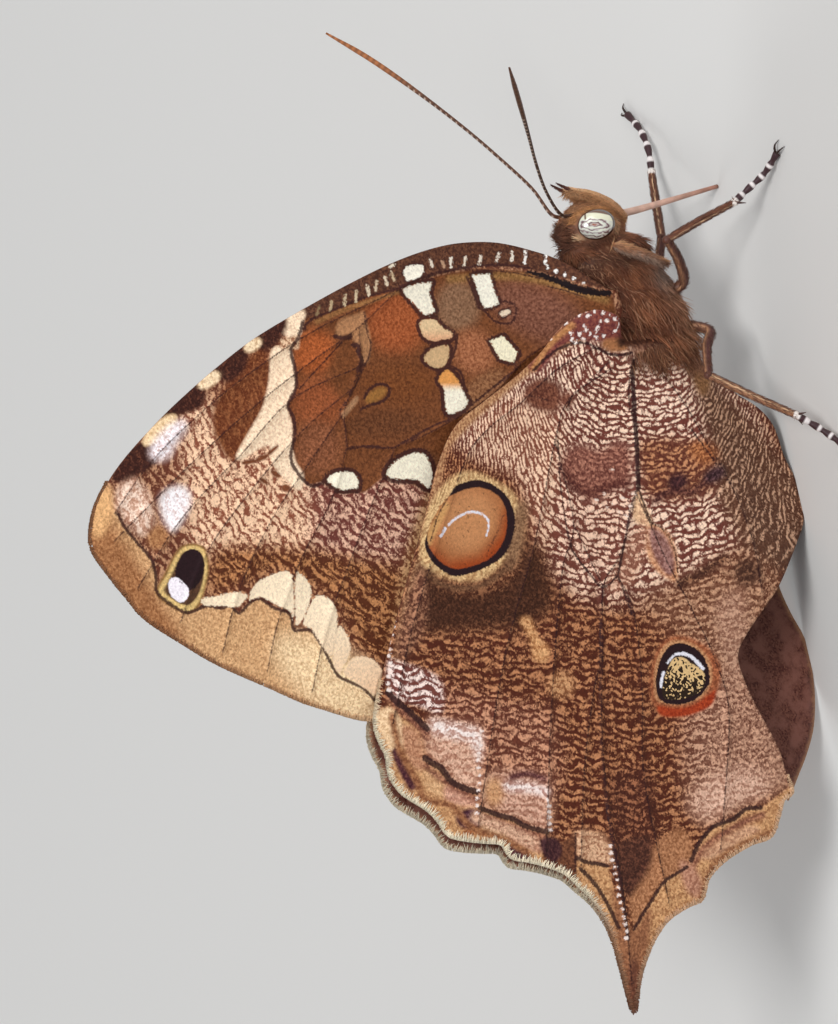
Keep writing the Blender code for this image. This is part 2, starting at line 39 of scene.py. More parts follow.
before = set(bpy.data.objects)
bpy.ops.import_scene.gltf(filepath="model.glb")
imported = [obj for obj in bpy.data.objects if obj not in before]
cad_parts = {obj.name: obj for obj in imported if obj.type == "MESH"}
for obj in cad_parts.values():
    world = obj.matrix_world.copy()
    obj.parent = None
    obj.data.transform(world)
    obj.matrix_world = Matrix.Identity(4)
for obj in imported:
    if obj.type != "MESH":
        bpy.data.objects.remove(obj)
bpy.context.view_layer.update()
thorax_low, thorax_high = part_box("thorax")
MIDDLE = np.array((thorax_high.x - THORAX_FRONT * MM, (thorax_low.y + thorax_high.y) / 2, 0.0))


def in_place(points):
    """Millimetres of the insect's frame as metres of the model's."""
    return np.asarray(points, float) * MM + MIDDLE


def tint(red, green, blue):
    """A colour as it is seen, 0 to 255, in the linear light that shaders work in."""
    seen = np.array((red, green, blue)) / 255.0
    return np.where(seen <= 0.04045, seen / 12.92, ((seen + 0.055) / 1.055) ** 2.4)


def mesh_object(name, points, faces, replaces=(), smooth=True):
    """A piece of the insect from points in millimetres, riding on its one body."""
    mesh = bpy.data.meshes.new(name)
    placed = in_place(points)
    faces = np.asarray(faces, np.int32)
    if faces.ndim == 2:
        mesh.vertices.add(len(placed))
        mesh.vertices.foreach_set("co", placed.astype(np.float32).ravel())
        mesh.loops.add(faces.size)
        mesh.loops.foreach_set("vertex_index", faces.ravel())
        mesh.polygons.add(len(faces))
        mesh.polygons.foreach_set("loop_start", np.arange(0, faces.size, faces.shape[1], dtype=np.int32))
        mesh.update(calc_edges=True)
        mesh.validate()
    mesh.polygons.foreach_set("use_smooth", np.full(len(mesh.polygons), smooth))
    piece = bpy.data.objects.new(name, mesh)
    bpy.context.scene.collection.objects.link(piece)
    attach(piece, "root")
    if replaces:
        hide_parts(*replaces)
    return piece


def point_values(piece, name, values):
    """Stores a number, direction or colour at every point, for the materials to read."""
    values = np.asarray(values, np.float32)
    if values.ndim == 1:
        piece.data.attributes.new(name, "FLOAT", "POINT").data.foreach_set("value", values)
    elif values.shape[1] == 3:
        piece.data.attributes.new(name, "FLOAT_VECTOR", "POINT").data.foreach_set("vector", values.ravel())


# The view. The camera stands 30 degrees above the floor on the insect's right and is rolled so
# that its head is up, and it finds where each point of a wing falls in that picture.
AIM = np.array((-10.7, 0.0, 28.62))
DISTANCE = 600.0
PIXELS_PER_MM = 15.0
PICTURE = (838, 1024)
LIFT = math.radians(30)
ACROSS = np.array((1.0, 0.0, 0.0))
UPWARD = np.array((0.0, math.sin(LIFT), math.cos(LIFT)))
AWAY = np.array((0.0, math.cos(LIFT), -math.sin(LIFT)))
ROLL_SIN, ROLL_COS = 0.2164, 0.9763


def in_picture(points):
    """Where points of the insect fall in the picture, in pixels from its top left corner."""
    offset = np.asarray(points, float) - AIM
    scale = PIXELS_PER_MM * DISTANCE / (DISTANCE + offset @ AWAY)
    along, up = offset @ ACROSS, offset @ UPWARD
    x = PICTURE[0] / 2 + scale * (-ROLL_SIN * along - ROLL_COS * up)
    y = PICTURE[1] / 2 + scale * (-ROLL_COS * along + ROLL_SIN * up)
    return np.stack([x, y], axis=1)


# The wings are four thin sheets of membrane, stiffened by veins and covered in fine scales.
# Each is one even mesh over its outline, curved as the solids are, with raised veins.
SPACING = 0.2
INNER_SPACING = 0.55
RIM_STEP = 0.16
FLOOR_GAP = 0.02
THICKNESS = 0.3
VEIN_LIFT = 0.16
FOREWING_OFFSET = 0.42
HINDWING_STEP = 0.95
ROOT = (0.3, 12.2)
HINGE = (-3.0, 11.0)
LEFT_FOREWING_DROP = 0.5
LEFT_HINDWING_TURN = math.radians(2.2)
ABDOMEN_START = -6.2
ABDOMEN_LENGTH = 15.8


def at(numbers):
    """Points from a row of numbers, two for each point; points that are given as such stay."""
    if not isinstance(numbers, str):
        return numbers
    values = [float(n) for n in numbers.split()]
    return list(zip(values[::2], values[1::2]))


FOREWING_COSTA = at("0.9 10.4 1.2 12.2 3.5 14.2 4.7 15.9 5.8 18.4 6.3 21.2 6.3 23.8 5.9 26.8 5.1 30.4 4 "
    "34.5 2.8 38.4 1.3 41.9 -0.4 45.3 -1.8 47.7 -3.1 49.7 -4.4 51.3 -5.9 52.6 -7.6 53.4")
FOREWING_OUTER = at("-8.7 53.4 -10.2 52.7 -12 51.7 -13.6 50.7 -15.6 48.5 -17.5 46.2 -19.6 43 -21.1 40.7 "
    "-22.1 38.8 -23 37 -23.4 35.7")
FOREWING_INNER = at("-23.2 34.8 -19.5 31.2 -14.6 25.9 -10.3 20.8 -6.7 16.8 -3.8 13.6 -2.6 12 -2 10.2")
FOREWING_VEINS = [at(vein) for vein in (
    "0.7 12.4 2.3 15.2 3.9 18.9 4.7 23.9 3.8 28.2 2.5 34 0.7 39.2 -1.2 43.5 -3.7 48 -6.6 51.6",
    "4.2 26.7 2.2 30.4 0.6 34.5 -1.4 39.2 -4.2 44.8 -8.4 52.2",
    "2.2 30.4 -0.4 31.1 -3.1 32.9 -5.4 33.3",
    "-0.4 31.1 -1.6 36.6 -4.4 41.2 -7.7 46.6 -11.6 51",
    "-1.7 31.9 -3.8 36.4 -6.9 41.1 -10.4 45.5 -14.6 48.6",
    "-3.1 32.9 -5.8 36.2 -9.1 40.1 -13.1 43.6 -17 45.9",
    "-5.4 33.3 -8.7 35.4 -12.1 38.6 -15.6 41.2 -19 43",
    "-6.1 29.7 -8.6 31.7 -12.8 34.9 -17 37.9 -20.9 40",
    "-0.3 12.8 -2.1 18.2 -4 21.3 -5.2 24.9 -6.1 29.7 -5.4 33.3",
    "-1.4 13.4 -4.8 18.4 -9.1 24.2 -13.6 29.2 -18.4 33 -22.2 35.6",
)]
HINDWING_COSTA = at("-1.8 10.4 -1.4 12.2 -0.6 13 0 14.2 -0.2 15.5 -0.9 16.6 -2.1 17.9 -3.2 19.8 -4.4 "
    "22.6 -5.6 25.2 -7.6 27 -9.9 28.4 -12.5 29.9 -15.2 31.6 -18 33.3 -21 35 -23.5 36.1")
HINDWING_OUTER = at("-24.8 36.1 -26 35.8 -27.2 35.9 -28.4 35.4 -29.2 34.6 -30.1 33.6 -31 33 -32 32.5 "
    "-32.6 31.2 -33 29.9 -33.4 28.7 -34.4 28.2 -34.9 27 -35.5 25.7 -36.3 24.4 -37.3 23.6 -38.3 22.8 "
    "-39.5 22.2 -41 21.8 -43.4 21.7 -45 21.7 -46.3 21.6 -45.6 21.2 -44.1 20.5 -42.9 19.6 -41.8 18.6 "
    "-40.9 17.3 -40.4 15.6 -40.2 14.5 -38.9 13.6 -38 12 -37.4 9.8 -37.2 8.1 -36.1 7.2 -35 6.5 -34.7 5.7 "
    "-33.5 5.8")
HINDWING_RIGHT_INNER = at("-32 5.9 -30.4 6.4 -28.6 7.1 -26.6 7.7 -24.8 7.9 -23.5 7 -22.2 5.6 -20.6 3.7 "
    "-18.3 1.2 -16.6 0 -14.2 0 -12.4 0.5 -10.2 0.8 -8.7 1.8 -7.4 3.5 -6 5.2 -4.4 5.9 -2.8 6 -1.6 6.6")
HINDWING_LEFT_INNER = at("-35.4 4.4 -33.9 3.2 -32.4 2 -30.8 1 -28.8 0.3 -26.9 0 -24.9 0 -22.8 0.6 -20.6 "
    "1 -17.6 0.9 -14.2 0.7 -11.6 0.8 -9.6 1.2 -8.2 2.4 -7.1 4 -5.8 5.3 -4.4 5.9 -2.8 6 -1.6 6.6")
HINDWING_VEINS = [at(vein) for vein in (
    "-2.4 14.4 -3.3 16.9 -5 20 -6.3 23 -8 25.2 -12.8 28.6 -18.8 32.4 -24 35",
    "-3.6 11.9 -6.2 12.3 -9 12.3 -12.6 13 -16.4 15.1 -18.3 16.9 -22.5 18 -25.6 18.9 -30.9 20 "
    "-38.7 20.6 -44.6 21.3",
    "-4 13.4 -5.5 16.5 -8 18.1 -14.3 21.3 -21.5 25.6 -32 30.4",
    "-8 18.1 -13.7 18.1 -16.8 19.8 -24.9 22.7 -34.8 25.7",
    "-13.7 18.1 -18.3 16.9",
    "-22.5 18 -25.5 19.6 -30.5 21.6 -36.6 23.4",
    "-17.4 15.9 -19.3 15.1 -22.2 15.1 -26.3 15.8 -31.5 17 -40 17.2",
    "-12.6 13 -17.5 11.8 -21.1 10.7 -24.8 9.7 -28.9 9.5 -37.6 12.4",
    "-4.6 10 -7.1 8.6 -10.1 7.5 -13.5 6.3 -17.2 5.6 -21 5.6",
)]


def smooth_step(low, high, value):
    t = np.clip((value - low) / (high - low), 0.0, 1.0)
    return t * t * (3 - 2 * t)


def spanned(before, start, end, after, step):
    """Points about one step apart on the smooth curve from start towards end."""
    count = max(1, round(np.linalg.norm(end - start) / step))
    return [0.5 * (
        2 * start + (end - before) * t
        + (2 * before - 5 * start + 4 * end - after) * t * t
        + (3 * start - before - 3 * end + after) * t ** 3
    ) for t in np.arange(count) / count]


def curve_through(points, step):
    """Points about one step apart on a smooth curve through the given ones."""
    fixed = [np.array(p, float) for p in at(points)]
    ends = [2 * fixed[0] - fixed[1]] + fixed + [2 * fixed[-1] - fixed[-2]]
    path = []
    for before, start, end, after in zip(ends, ends[1:], ends[2:], ends[3:]):
        path += spanned(before, start, end, after, step)
    path.append(fixed[-1])
    return np.array(path)


def reached(path):
    """How far along a path each of its points is."""
    return np.concatenate([[0.0], np.cumsum(np.linalg.norm(np.diff(path, axis=0), axis=1))])


def at_stops(path, reach, stops):
    return np.stack([np.interp(stops, reach, path[:, i]) for i in range(2)], axis=1)


def hinged(x, z, turn, drop=0.0):
    """Places on a wing after it is turned about its hinge and lowered."""
    dx, dz = x - HINGE[0], z - HINGE[1]
    c, s = math.cos(turn), math.sin(turn)
    return HINGE[0] + dx * c - dz * s, HINGE[1] + dx * s + dz * c - drop


def distance_to(points, path):
    """How far each point is from a line of straight pieces."""
    nearest = np.full(len(points), 1e9)
    path = np.asarray(path, float)
    for start, end in zip(path, path[1:]):
        run = end - start
        t = np.clip((points - start) @ run / max(run @ run, 1e-12), 0.0, 1.0)
        gap = points - start - t[:, None] * run
        nearest = np.minimum(nearest, gap[:, 0] ** 2 + gap[:, 1] ** 2)
    return np.sqrt(nearest)


def root_nearness(x, z, spread):
    return np.exp(-(np.hypot(x - ROOT[0], z - ROOT[1]) / spread) ** 2)


def forewing_y(x, z):
    """Distance of the forewing's middle surface from the insect's middle plane."""
    dip = 1.4 * (1.0 - smooth_step(10.0, 11.9, z))
    return FOREWING_OFFSET + 2.6 * root_nearness(x, z, 4.2) - dip


def abdomen_height(x):
    return 8.4 - 3.6 * (ABDOMEN_START - x) / ABDOMEN_LENGTH


def hindwing_y(x, z):
    """The hindwing lies outside the forewing and swells round the abdomen."""
    middle = abdomen_height(x)
    spread = np.where(z > middle, 5.5, 3.6)
    belly = 1.65 * np.exp(-((z - middle) / spread) ** 2)
    belly = belly * smooth_step(-34.0, -18.0, x) * (1.0 - 0.45 * root_nearness(x, z, 6.0))
    dip = 2.0 * smooth_step(-3.4, -1.8, x) * (1.0 - smooth_step(11.4, 13.0, z))
    return FOREWING_OFFSET + 2.6 * root_nearness(x, z, 4.2) + HINDWING_STEP + belly - dip


def filled(rim, spacing, seeds=()):
    """Even triangles inside a rim and through some seeds, and where each rim point went."""
    near_rim = kdtree.KDTree(len(rim))
    for i, (x, z) in enumerate(rim):
        near_rim.insert((x, z, 0.0), i)
    near_rim.balance()
    kept = []
    if len(seeds):
        _, first = np.unique(np.round(np.asarray(seeds) / 0.05).astype(int), axis=0, return_index=True)
        kept = [p for p in np.asarray(seeds)[first] if near_rim.find((p[0], p[1], 0.0))[2] > 0.08]
    near_seed = kdtree.KDTree(max(1, len(kept)))
    for i, (x, z) in enumerate(kept or [(1e3, 1e3)]):
        near_seed.insert((x, z, 0.0), i)
    near_seed.balance()
    low, high = rim.min(axis=0), rim.max(axis=0)
    points = [Vector(p) for p in rim] + [Vector(p) for p in kept]
    for j, z in enumerate(np.arange(low[1], high[1], spacing * 0.866)):
        for x in np.arange(low[0] + (j % 2) * spacing / 2, high[0], spacing):
            if near_rim.find((x, z, 0.0))[2] > spacing * 0.62 and near_seed.find((x, z, 0.0))[2] > 0.1:
                points.append(Vector((x, z)))
    count = len(rim)
    links = [(i, (i + 1) % count) for i in range(count)]
    flat, _, triangles, origins, *_ = delaunay_2d_cdt(points, links, [list(range(count))], 1, 1e-6)
    triangles = np.array([tuple(t) for t in triangles])
    flat = np.array([tuple(p) for p in flat])
    went = np.zeros(count, int)
    for i, sources in enumerate(origins):
        for source in sources:
            if source < count:
                went[source] = i
    used, packed = np.unique(triangles, return_inverse=True)
    return flat[used], packed.reshape(-1, 3), np.searchsorted(used, went)


def wing_outline(costa, outer, inner):
    return np.concatenate([curve_through(costa, 0.5), curve_through(outer, 0.4), curve_through(inner, 0.5)])


def beside(path, offsets):
    """Copies of a flat path, each moved sideways by one of the offsets."""
    ahead = np.gradient(path, axis=0)
    ahead /= np.maximum(np.linalg.norm(ahead, axis=1), 1e-9)[:, None]
    sideways = np.stack([-ahead[:, 1], ahead[:, 0]], axis=1)
    return np.concatenate([path + sideways * offset for offset in offsets])


def on_wing(pixels, depth):
    """Where pixels of the picture lie on the near wing, as x and z."""
    pixels = np.asarray(pixels, float)
    right, down = pixels[:, 0] - PICTURE[0] / 2, pixels[:, 1] - PICTURE[1] / 2
    y, scale = np.full(len(pixels), -1.5), PIXELS_PER_MM
    for _ in range(4):
        along = (-ROLL_SIN * right - ROLL_COS * down) / scale
        up = (-ROLL_COS * right + ROLL_SIN * down) / scale
        x = AIM[0] + along
        z = AIM[2] + (up - (y - AIM[1]) * UPWARD[1]) / UPWARD[2]
        y = -depth(x, z) - THICKNESS / 2
        offset = np.stack([x, y, z], axis=1) - AIM
        scale = PIXELS_PER_MM * DISTANCE / (DISTANCE + offset @ AWAY)
    return np.stack([x, z], axis=1)


def wing(name, way, outline, veins, depth, markings, node, turn=0.0, drop=0.0):
    """One wing: its outer face carries the markings and its inner face is the hidden upper side."""
    loop = np.concatenate([outline, outline[:1]])
    reach = reached(loop)
    rim = at_stops(loop, reach, np.linspace(0.0, reach[-1], int(reach[-1] / RIM_STEP) + 1)[:-1])
    paths = [curve_through(v, 0.14) for v in veins]
    nothing = np.zeros((1, 2))
    traces = markings(nothing, nothing, np.zeros(1), np.zeros(1))["traces"]
    seeds = [beside(path, (-0.16, 0.0, 0.16)) for path in paths]
    seeds += [on_wing(beside(path, offsets), depth) for path, offsets in traces]
    flat, triangles, edge = filled(rim, SPACING, np.concatenate(seeds))
    plain, inner_triangles, inner_edge = filled(rim, INNER_SPACING)

    def surface(points, side):
        x, z = points[:, 0], points[:, 1]
        slope_x = (depth(x + 0.05, z) - depth(x - 0.05, z)) / 0.1
        slope_z = (depth(x, z + 0.05) - depth(x, z - 0.05)) / 0.1
        normal = np.stack([-slope_x, np.ones(len(x)), -slope_z], axis=1)
        normal /= np.linalg.norm(normal, axis=1)[:, None]
        vein_gap = np.min([distance_to(points, path[::3]) for path in paths], axis=0)
        edge_gap = distance_to(points, loop)
        thick = THICKNESS * (0.35 + 0.65 * smooth_step(0.0, 1.2, edge_gap))
        ridge = VEIN_LIFT * np.exp(-(vein_gap / 0.17) ** 2) * smooth_step(0.0, 0.8, edge_gap)
        sag = 0.10 * smooth_step(0.0, 1.6, vein_gap) * smooth_step(0.0, 2.5, edge_gap)
        lift = thick / 2 + ridge - sag if side > 0 else -(thick / 2 - ridge * 0.6 + sag)
        return np.stack([x, depth(x, z), z], axis=1) + normal * lift[:, None], vein_gap, edge_gap

    outer, vein_gap, edge_gap = surface(flat, 1)
    inner, _, inner_gap = surface(plain, -1)
    seen = in_picture(outer * (1.0, -1.0, 1.0))
    values = markings(flat, seen, vein_gap, edge_gap)
    points = np.concatenate([outer, inner])
    points[:, 1] *= way
    if turn or drop:
        points[:, 0], points[:, 2] = hinged(points[:, 0], points[:, 2], turn, drop)
    points[:, 2] = np.maximum(points[:, 2], FLOOR_GAP)
    count = len(flat)
    ring, inner_ring = edge, inner_edge + count
    ahead, inner_ahead = np.roll(ring, -1), np.roll(inner_ring, -1)
    area = np.sum(rim[:, 0] * np.roll(rim[:, 1], -1) - np.roll(rim[:, 0], -1) * rim[:, 1])
    side = np.concatenate([
        np.stack([ahead, ring, inner_ring], axis=1), np.stack([ahead, inner_ring, inner_ahead], axis=1),
    ])
    if area < 0:
        side = side[:, ::-1]
    faces = np.concatenate([triangles, inner_triangles[:, ::-1] + count, side])
    if way > 0:
        faces = faces[:, ::-1]
    piece = mesh_object(name, points, faces, (node,))
    materials = np.zeros(len(faces), np.int32)
    materials[len(triangles):len(triangles) + len(inner_triangles)] = 1
    piece.data.polygons.foreach_set("material_index", materials)
    for key, value in values.items():
        if key != "traces":
            rest = np.repeat(value[:1], len(plain), axis=0)
            point_values(piece, key, np.concatenate([value, rest]))
    point_values(piece, "rim_gap", np.concatenate([edge_gap, inner_gap]))
    both = np.concatenate([flat, plain])
    point_values(piece, "flat", np.concatenate([both, np.zeros((len(both), 1))], axis=1))

    uv = piece.data.uv_layers.new(name="OFBake")
    low, span = rim.min(axis=0), np.ptp(rim, axis=0)
    spread = max(span[0], 2 * span[1]) * 1.02
    place = (both - low) / spread + 0.004
    place[count:, 1] += 0.5
    corners = np.empty(len(piece.data.loops), np.int32)
    piece.data.loops.foreach_get("vertex_index", corners)
    uv.data.foreach_set("uv", place[corners].astype(np.float32).ravel())
    return piece


# Markings are laid on as areas with soft edges, spots with sharp ones, and thin lines. Their
# shapes are in pixels of the picture, and each point of a wing knows where it falls there.
def inside(points, outline):
    hit = np.zeros(len(points), bool)
    x, y = points[:, 0], points[:, 1]
    for (x0, y0), (x1, y1) in zip(outline, np.roll(outline, -1, axis=0)):
        if y0 != y1:
            crosses = (y0 > y) != (y1 > y)
            hit ^= crosses & (x < (x1 - x0) * (y - y0) / (y1 - y0) + x0)
    return hit


def patch(outline):
    """Signed distance to an outline, in pixels, less than zero inside, and the outline itself."""
    outline = np.asarray(at(outline), float)
    closed = np.concatenate([outline, outline[:1]])

    def gap(points):
        away = distance_to(points, closed)
        return np.where(inside(points, outline), -away, away)
    return gap, closed


def rounded(outline):
    """The same, with the corners of the outline smoothed."""
    fixed = [np.array(p, float) for p in at(outline)]
    path = []
    for i in range(len(fixed)):
        path += spanned(*(fixed[(i + k - 1) % len(fixed)] for k in range(4)), 3.0)
    return patch(path)


def oval(centre, half_width, half_height, lean=0.0):
    """An oval, leaning by so many degrees."""
    turn = math.radians(lean)
    angles = np.linspace(0, 2 * math.pi, max(8, int(half_width + half_height)), endpoint=False)
    across, down = np.cos(angles) * half_width, np.sin(angles) * half_height
    return patch(np.stack([
        centre[0] + across * math.cos(turn) - down * math.sin(turn),
        centre[1] + across * math.sin(turn) + down * math.cos(turn),
    ], axis=1))


def stroke(line, width, smooth=True):
    """A line of that width."""
    path = curve_through(line, 3.0) if smooth else np.asarray(at(line), float)

    def gap(points):
        return distance_to(points, path) - width / 2
    return gap, path


def stepped(path, step):
    reach = reached(path)
    return at_stops(path, reach, np.linspace(0.0, reach[-1], max(2, int(reach[-1] / step) + 1)))


class Coat:
    """The colours of a wing's scales at its points, as layers are laid on."""

    def __init__(self, seen, vein_gap, dark, pale, share, weave):
        self.seen = seen
        count = len(seen)
        self.values = {
            "dark": np.tile(tint(*dark), (count, 1)), "pale": np.tile(tint(*pale), (count, 1)),
            "weave": np.tile(np.array((*weave, share), float), (count, 1)),
            "spot_tint": np.tile(tint(250, 240, 214), (count, 1)),
            "disc_tint": np.tile(tint(170, 110, 70), (count, 1)),
            "edges": np.full((count, 3), 30.0), "rings": np.full((count, 3), (30.0, 30.0, 0.0)),
        }
        self.values["edges"][:, 1] = vein_gap
        self.traces = []

    def trace(self, path, offsets):
        self.traces.append((stepped(path, 2.2), offsets))

    def area(self, shape, dark, pale, share=0.5, soft=12.0, weave=None, strength=1.0):
        """An area of scales: dark and pale colour, the share that is pale, and their weave, which
        is how far they form dashes and how strongly dark and pale are told apart."""
        gap, path = rounded(shape) if isinstance(shape, str) else shape
        if soft < 9:
            self.trace(path, (-max(1.0, soft / 2), max(1.0, soft / 2)))
        weight = (strength * (1 - smooth_step(-soft / 2, soft / 2, gap(self.seen))))[:, None]
        kept = self.values["weave"]
        goal = np.array((*(weave or (0.0, 1.0)), share)) if weave else np.concatenate(
            [kept[:, :2], np.full((len(kept), 1), share)], axis=1)
        for key, value in (("dark", tint(*dark)), ("pale", tint(*pale)), ("weave", goal)):
            self.values[key] += (value - self.values[key]) * weight

    def plain(self, shape, shade, soft=2.4, fade=0.1):
        """An even patch in one colour."""
        low = tuple(c * (1 - fade) for c in shade)
        self.area(shape, low, shade, 0.6, soft, (0.0, 0.15))

    def spots(self, shape, shade=(250, 240, 214), rim=0.0, fade=None):
        """A sharp spot in one colour, or fading to a second down the picture, with a dark rim."""
        gap, path = shape
        self.trace(path, (-1.6, 0.0, 1.6) if not rim else (-1.2, 0.0, 1.2, rim, rim + 1.2))
        gap = gap(self.seen)
        edges = self.values["edges"]
        near = gap < np.minimum(edges[:, 0], 6.0)
        colours = np.tile(tint(*shade), (len(gap), 1))
        if fade:
            second, top, bottom = fade
            share = smooth_step(top, bottom, self.seen[:, 1])[:, None]
            colours = colours * (1 - share) + tint(*second) * share
        self.values["spot_tint"][near] = colours[near]
        edges[:, 0] = np.minimum(edges[:, 0], gap)
        if rim:
            edges[:, 1] = np.minimum(edges[:, 1], np.abs(gap - rim / 2) - rim / 2)

    def lines(self, shape):
        gap, path = shape
        half = -gap(path[:1])[0]
        self.trace(path, (-half - 1.0, -half + 0.6, 0.0, half - 0.6, half + 1.0))
        self.values["edges"][:, 1] = np.minimum(self.values["edges"][:, 1], gap(self.seen))

    def gleams(self, shape):
        gap, path = shape
        self.trace(path, (-2.4, -0.8, 0.8, 2.4))
        self.values["edges"][:, 2] = np.minimum(self.values["edges"][:, 2], gap(self.seen))

    def eyespot(self, ring, disc, shade, pepper=0.0):
        """A black ring with a coloured disc on it."""
        for place, (gap, path) in enumerate((ring, disc)):
            self.trace(path, (-1.5, 0.0, 1.5))
            away = gap(self.seen)
            self.values["rings"][:, place] = np.minimum(self.values["rings"][:, place], away)
            self.values["edges"][away < 1.5, 1] = 30.0
            if place:
                near = away < 8
                self.values["disc_tint"][near] = tint(*shade)
                self.values["rings"][near, 2] = np.broadcast_to(pepper, near.shape)[near]

    def disc_shade(self, shape, shade, soft):
        gap, path = shape
        weight = (1 - smooth_step(-soft / 2, soft / 2, gap(self.seen)))[:, None]
        self.values["disc_tint"] += (tint(*shade) - self.values["disc_tint"]) * weight

    def finished(self, ripple):
        return {**self.values, "ripple": ripple, "traces": self.traces}


def forewing_markings(flat, seen, vein_gap, edge_gap):
    coat = Coat(seen, vein_gap * PIXELS_PER_MM - 0.55, (104, 54, 38), (192, 142, 108), 0.45, (0.6, 1.0))
    for row in (
        ("296 478 430 480 436 520 400 560 330 560 290 530", (112, 58, 50), (226, 180, 154), 0.5, 40),
        ("185 400 225 420 300 470 306 550 240 560 190 540", (144, 82, 60), (250, 208, 172), 0.62, 36),
        ("220 548 330 552 410 580 395 660 360 650 330 600 280 574 216 594", (90, 45, 25),
            (190, 130, 84), 0.46, 26),
        ("430 480 455 420 470 430 436 530 418 600 392 650 404 560", (128, 78, 52), (206, 160, 114),
            0.56, 16),
    ):
        coat.area(*row)
    # Brown field and its rust, olive and pinkish parts, which hardly ripple.
    felt = (0.0, 0.12)
    coat.area(patch("306 316 340 300 369 294 400 286 440 275 480 268 524 271 566 282 612 293 620 330 "
        "560 352 520 384 470 430 450 446 436 496 412 484 385 476 366 492 340 494 321 482 310 485 300 "
        "478 291 459 294 438 294 419 288 405 296 388 295 368 291 350 302 331"), (104, 58, 32),
        (128, 76, 44), 0.5, 3, felt)
    for shape, dark, pale, soft in (
        (oval((314, 352), 20, 22, 30), (150, 76, 36), (184, 98, 52), 18),
        (oval((318, 402), 26, 24, 0), (132, 70, 38), (160, 88, 52), 24),
        (oval((346, 372), 16, 26, 0), (104, 58, 30), (126, 74, 42), 18),
        (oval((396, 322), 30, 30, 0), (146, 72, 36), (174, 96, 56), 24),
        (oval((400, 384), 36, 20, 0), (104, 56, 28), (130, 76, 40), 24),
        (oval((384, 424), 40, 14, 0), (90, 50, 28), (116, 70, 42), 20),
        (oval((318, 448), 22, 26, 0), (116, 66, 40), (150, 92, 62), 20),
        (oval((458, 306), 22, 24, 0), (122, 86, 62), (150, 112, 84), 16),
        (oval((474, 352), 20, 22, -30), (146, 84, 54), (178, 116, 80), 20),
        (oval((536, 312), 50, 26, 25), (108, 62, 46), (138, 90, 70), 26),
        (oval((482, 392), 30, 14, -42), (120, 72, 46), (160, 112, 76), 12),
        (oval((424, 462), 16, 10, 0), (96, 56, 36), (128, 84, 56), 12),
    ):
        coat.area(shape, dark, pale, 0.5, soft, felt)
    coat.plain(rounded("336 328 341 319 356 314 364 312 367 324 371 343 368 362 361 362 362 349 354 341 "
        "349 334 338 337"), (180, 128, 88), 4)
    coat.plain(oval((376, 395), 12, 6, -32), (158, 108, 54), 5)
    coat.plain(rounded("357 396 349 404 341 414 343 418 351 410 358 401"), (186, 138, 100), 3)
    # Strip along the leading edge, dark with pale ticks across it, and its brown band.
    for row in (
        (patch("306 319 331 311 369 296 400 288 420 279 440 273 480 266 524 268 566 279 608 290 640 260 "
            "560 232 480 230 400 240 330 270 284 322"), (74, 42, 32), (110, 70, 50), 0.4, 3,
            (0.0, 0.3)),
        (stroke("316 322 346 309 380 298 398 292", 4.0), (136, 92, 52), (160, 112, 68), 0.5, 3, felt),
        (stroke("450 279 500 276 540 280 580 292 606 300", 7.0), (132, 92, 50), (166, 122, 74), 0.5, 6,
            felt),
    ):
        coat.area(*row)
    for x, y, long, lean, shade in (
        (318, 311, 8, 15, (140, 116, 84)), (331, 305, 9, 12, (190, 164, 128)),
        (345, 300, 10, 6, (206, 184, 150)), (356, 296, 10, 2, (214, 192, 158)),
        (368, 290, 10, -12, (228, 208, 180)), (376, 286, 9, 8, (220, 196, 164)),
        (386, 281, 9, -14, (232, 212, 184)), (393, 277, 8, -20, (210, 184, 150)),
        (392, 266, 5, 60, (236, 222, 200)), (431, 263, 8, -16, (236, 220, 200)),
        (443, 264, 6, -20, (190, 150, 120)), (451, 262, 9, -2, (244, 232, 214)),
        (465, 261, 8, 10, (236, 220, 200)), (480, 260, 8, 12, (236, 222, 204)),
        (498, 257, 8, 20, (238, 224, 208)), (512, 256, 9, 4, (240, 228, 212)),
        (525, 257, 12, 4, (252, 246, 238)), (546, 257, 12, 8, (254, 250, 244)),
    ):
        reach = np.array((math.sin(math.radians(lean)), -math.cos(math.radians(lean)))) * long / 2
        coat.spots(stroke([(x, y) - reach, (x, y) + reach], 2.6, False), shade)
    for x, y, size in (
        (548, 268, 1.2), (556, 271, 2.1), (565, 274.5, 1.9), (574, 278.5, 1.8), (583, 283, 1.5),
    ):
        coat.spots(oval((x, y), size, size), (254, 250, 244))
    # Cream band between the field and the tip, ragged towards the tip.
    coat.area(rounded("226 384 262 346 270 380 258 420 238 460 222 452 212 420"), (104, 50, 26),
        (150, 92, 56), 0.32, 9, (0.0, 0.5))
    for outline in ("284 322 290 313 305 311 303 324 299 336 286 336 280 330", "271 352 280 346 291 350 "
        "294 369 295 388 287 405 292 424 292 444 289 458 280 448 264 446 243 459 236 456 250 430 262 "
        "408 269 380", "272 440 290 446 296 462 304 476 300 490 286 480 272 462"):
        coat.area(rounded(outline), (244, 206, 172), (254, 228, 196), 0.7, 3, (0.0, 0.2))
    for x, y, wide, high, lean in (
        (249, 462, 8, 2.4, -8), (262, 458, 8, 2.6, -25), (273, 450, 8, 2.0, -40), (286, 488, 5, 4, 20),
        (276, 474, 6, 3, 30), (264, 481, 6, 2.4, 30),
    ):
        coat.plain(oval((x, y), wide, high, lean), (124, 70, 44), 2.4)
    coat.area(patch("278 340 300 334 299 349 282 350"), (150, 96, 66), (232, 196, 160), 0.55, 3,
        (0.0, 0.7))
